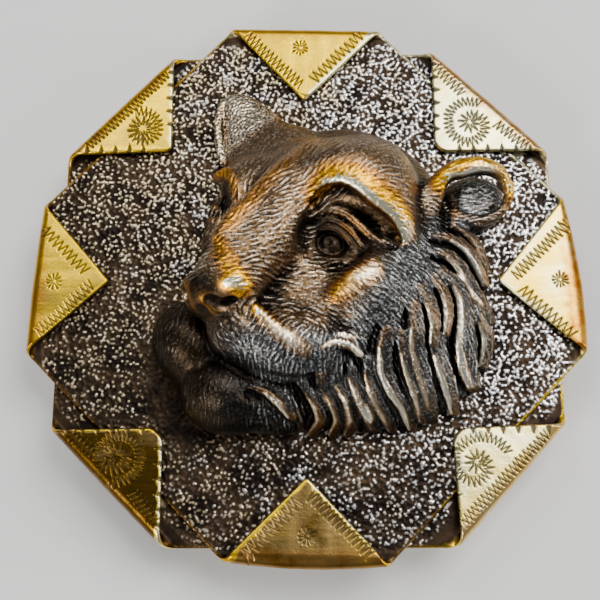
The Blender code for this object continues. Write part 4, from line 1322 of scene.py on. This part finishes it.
def hardware_brass(name, base, dark, cloud_mm, roughness_low, roughness_high):
    """Plain brass from the bench: tarnish in clouds, scratches, small dark pits and bright edges."""
    metal = Metal(name)
    cloud = metal.noise(cloud_mm, 5.0)
    speck = metal.noise(0.5, 3.0)
    scratch = metal.noise(0.8, 5.0, (0.2, 2.4, 1.0), 0.7)
    colour = metal.fade(cloud, 0.38, 0.68, base, dark)
    colour = metal.fade(speck, 0.64, 0.72, colour, PIT_BROWN, 0.6)
    edge = metal.node("ShaderNodeNewGeometry").outputs["Pointiness"]
    colour = metal.fade(edge, 0.52, 0.6, colour, EDGE_BRIGHT, 0.6)
    roughness = metal.range(cloud, 0.3, 0.7, roughness_low, roughness_high)
    normal = metal.bump(scratch, 0.02, 0.5)
    normal = metal.bump(speck, 0.04, 0.3, normal)
    return metal.done(colour, roughness, normal)


sheet_material = sheet_metal("tooled_sheet_brass")
front_sheet.data.materials.append(sheet_material)
back_sheet.data.materials.append(sheet_material)
lion_head.data.materials.append(cast_bronze())

screw_material = hardware_brass("screw_brass", (0.80, 0.58, 0.24), (0.52, 0.33, 0.12), 2.0, 0.2, 0.34)
washer_material = hardware_brass("washer_brass", (0.74, 0.54, 0.24), (0.46, 0.30, 0.12), 2.5, 0.25, 0.4)
lug_material = hardware_brass("brazed_brass", (0.68, 0.46, 0.18), (0.36, 0.21, 0.08), 4.0, 0.28, 0.45)
wire_material = hardware_brass("drawn_wire_brass", (0.80, 0.57, 0.22), (0.55, 0.36, 0.13), 5.0, 0.2, 0.34)

for piece, node, slot in ((front_sheet, "front_sheet", "dark_brass"),
                          (back_sheet, "back_sheet", "sheet_brass"),
                          (lion_head, "lion_head", "cast_bronze")):
    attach(piece, "medallion")
    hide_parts(node)

carried = [(f"head_screw_{n}", screw_material) for n in (1, 2, 3)]
carried += [(f"head_washer_{n}", washer_material) for n in (1, 2, 3)]
carried += [("hinge_lug_upper", lug_material), ("hinge_lug_lower", lug_material),
            ("hook_stud", lug_material), ("belt_bail", wire_material)]
for node, material in carried:
    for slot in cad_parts[node].material_slots:
        slot.material = material


# Floor, light and camera

FLOOR_HALF = 1.5


def floor():
    data = bpy.data.meshes.new("floor")
    corners = [(x * FLOOR_HALF, y * FLOOR_HALF, 0) for x, y in ((-1, -1), (1, -1), (1, 1), (-1, 1))]
    data.from_pydata(corners, [], [(0, 1, 2, 3)])
    item = bpy.data.objects.new("floor", data)
    bpy.context.scene.collection.objects.link(item)
    material = bpy.data.materials.new("pale_floor")
    material.use_nodes = True
    shader = material.node_tree.nodes["Principled BSDF"]
    shader.inputs["Base Color"].default_value = (0.80, 0.80, 0.79, 1.0)
    shader.inputs["Roughness"].default_value = 0.85
    item.data.materials.append(material)


def softbox(name, place, size, watts, colour):
    lamp = bpy.data.lights.new(name, "AREA")
    lamp.shape = "RECTANGLE"
    lamp.size, lamp.size_y = size
    lamp.energy = watts
    lamp.color = colour
    item = bpy.data.objects.new(name, lamp)
    bpy.context.scene.collection.objects.link(item)
    item.location = place
    item.rotation_euler = (-Vector(place)).to_track_quat("-Z", "Y").to_euler()


floor()
softbox("key", (0.19, 0.17, 0.45), (0.26, 0.30), 2.3, (1.0, 0.98, 0.95))
softbox("top_left", (-0.15, 0.25, 0.42), (0.18, 0.16), 0.6, (0.95, 0.97, 1.0))
softbox("front_left", (-0.24, -0.28, 0.28), (0.14, 0.14), 1.1, (1.0, 0.99, 0.96))
softbox("right_rim", (0.50, -0.05, 0.20), (0.10, 0.30), 1.0, (1.0, 0.98, 0.95))

world = bpy.data.worlds.new("studio")
world.use_nodes = True
sky = world.node_tree.nodes["Background"].inputs
sky["Color"].default_value = (0.85, 0.92, 1.0, 1.0)
sky["Strength"].default_value = 0.22
bpy.context.scene.world = world

lens = bpy.data.cameras.new("camera")
lens.sensor_width = 36.0
lens.lens = 64.8
lens.clip_start = 0.01
camera = bpy.data.objects.new("camera", lens)
camera.location = (0.0008, -0.0393, 0.163)
camera.rotation_mode = "ZYX"
camera.rotation_euler = (0.2369, 0.0110, -0.0080)
bpy.context.scene.collection.objects.link(camera)
bpy.context.scene.camera = camera
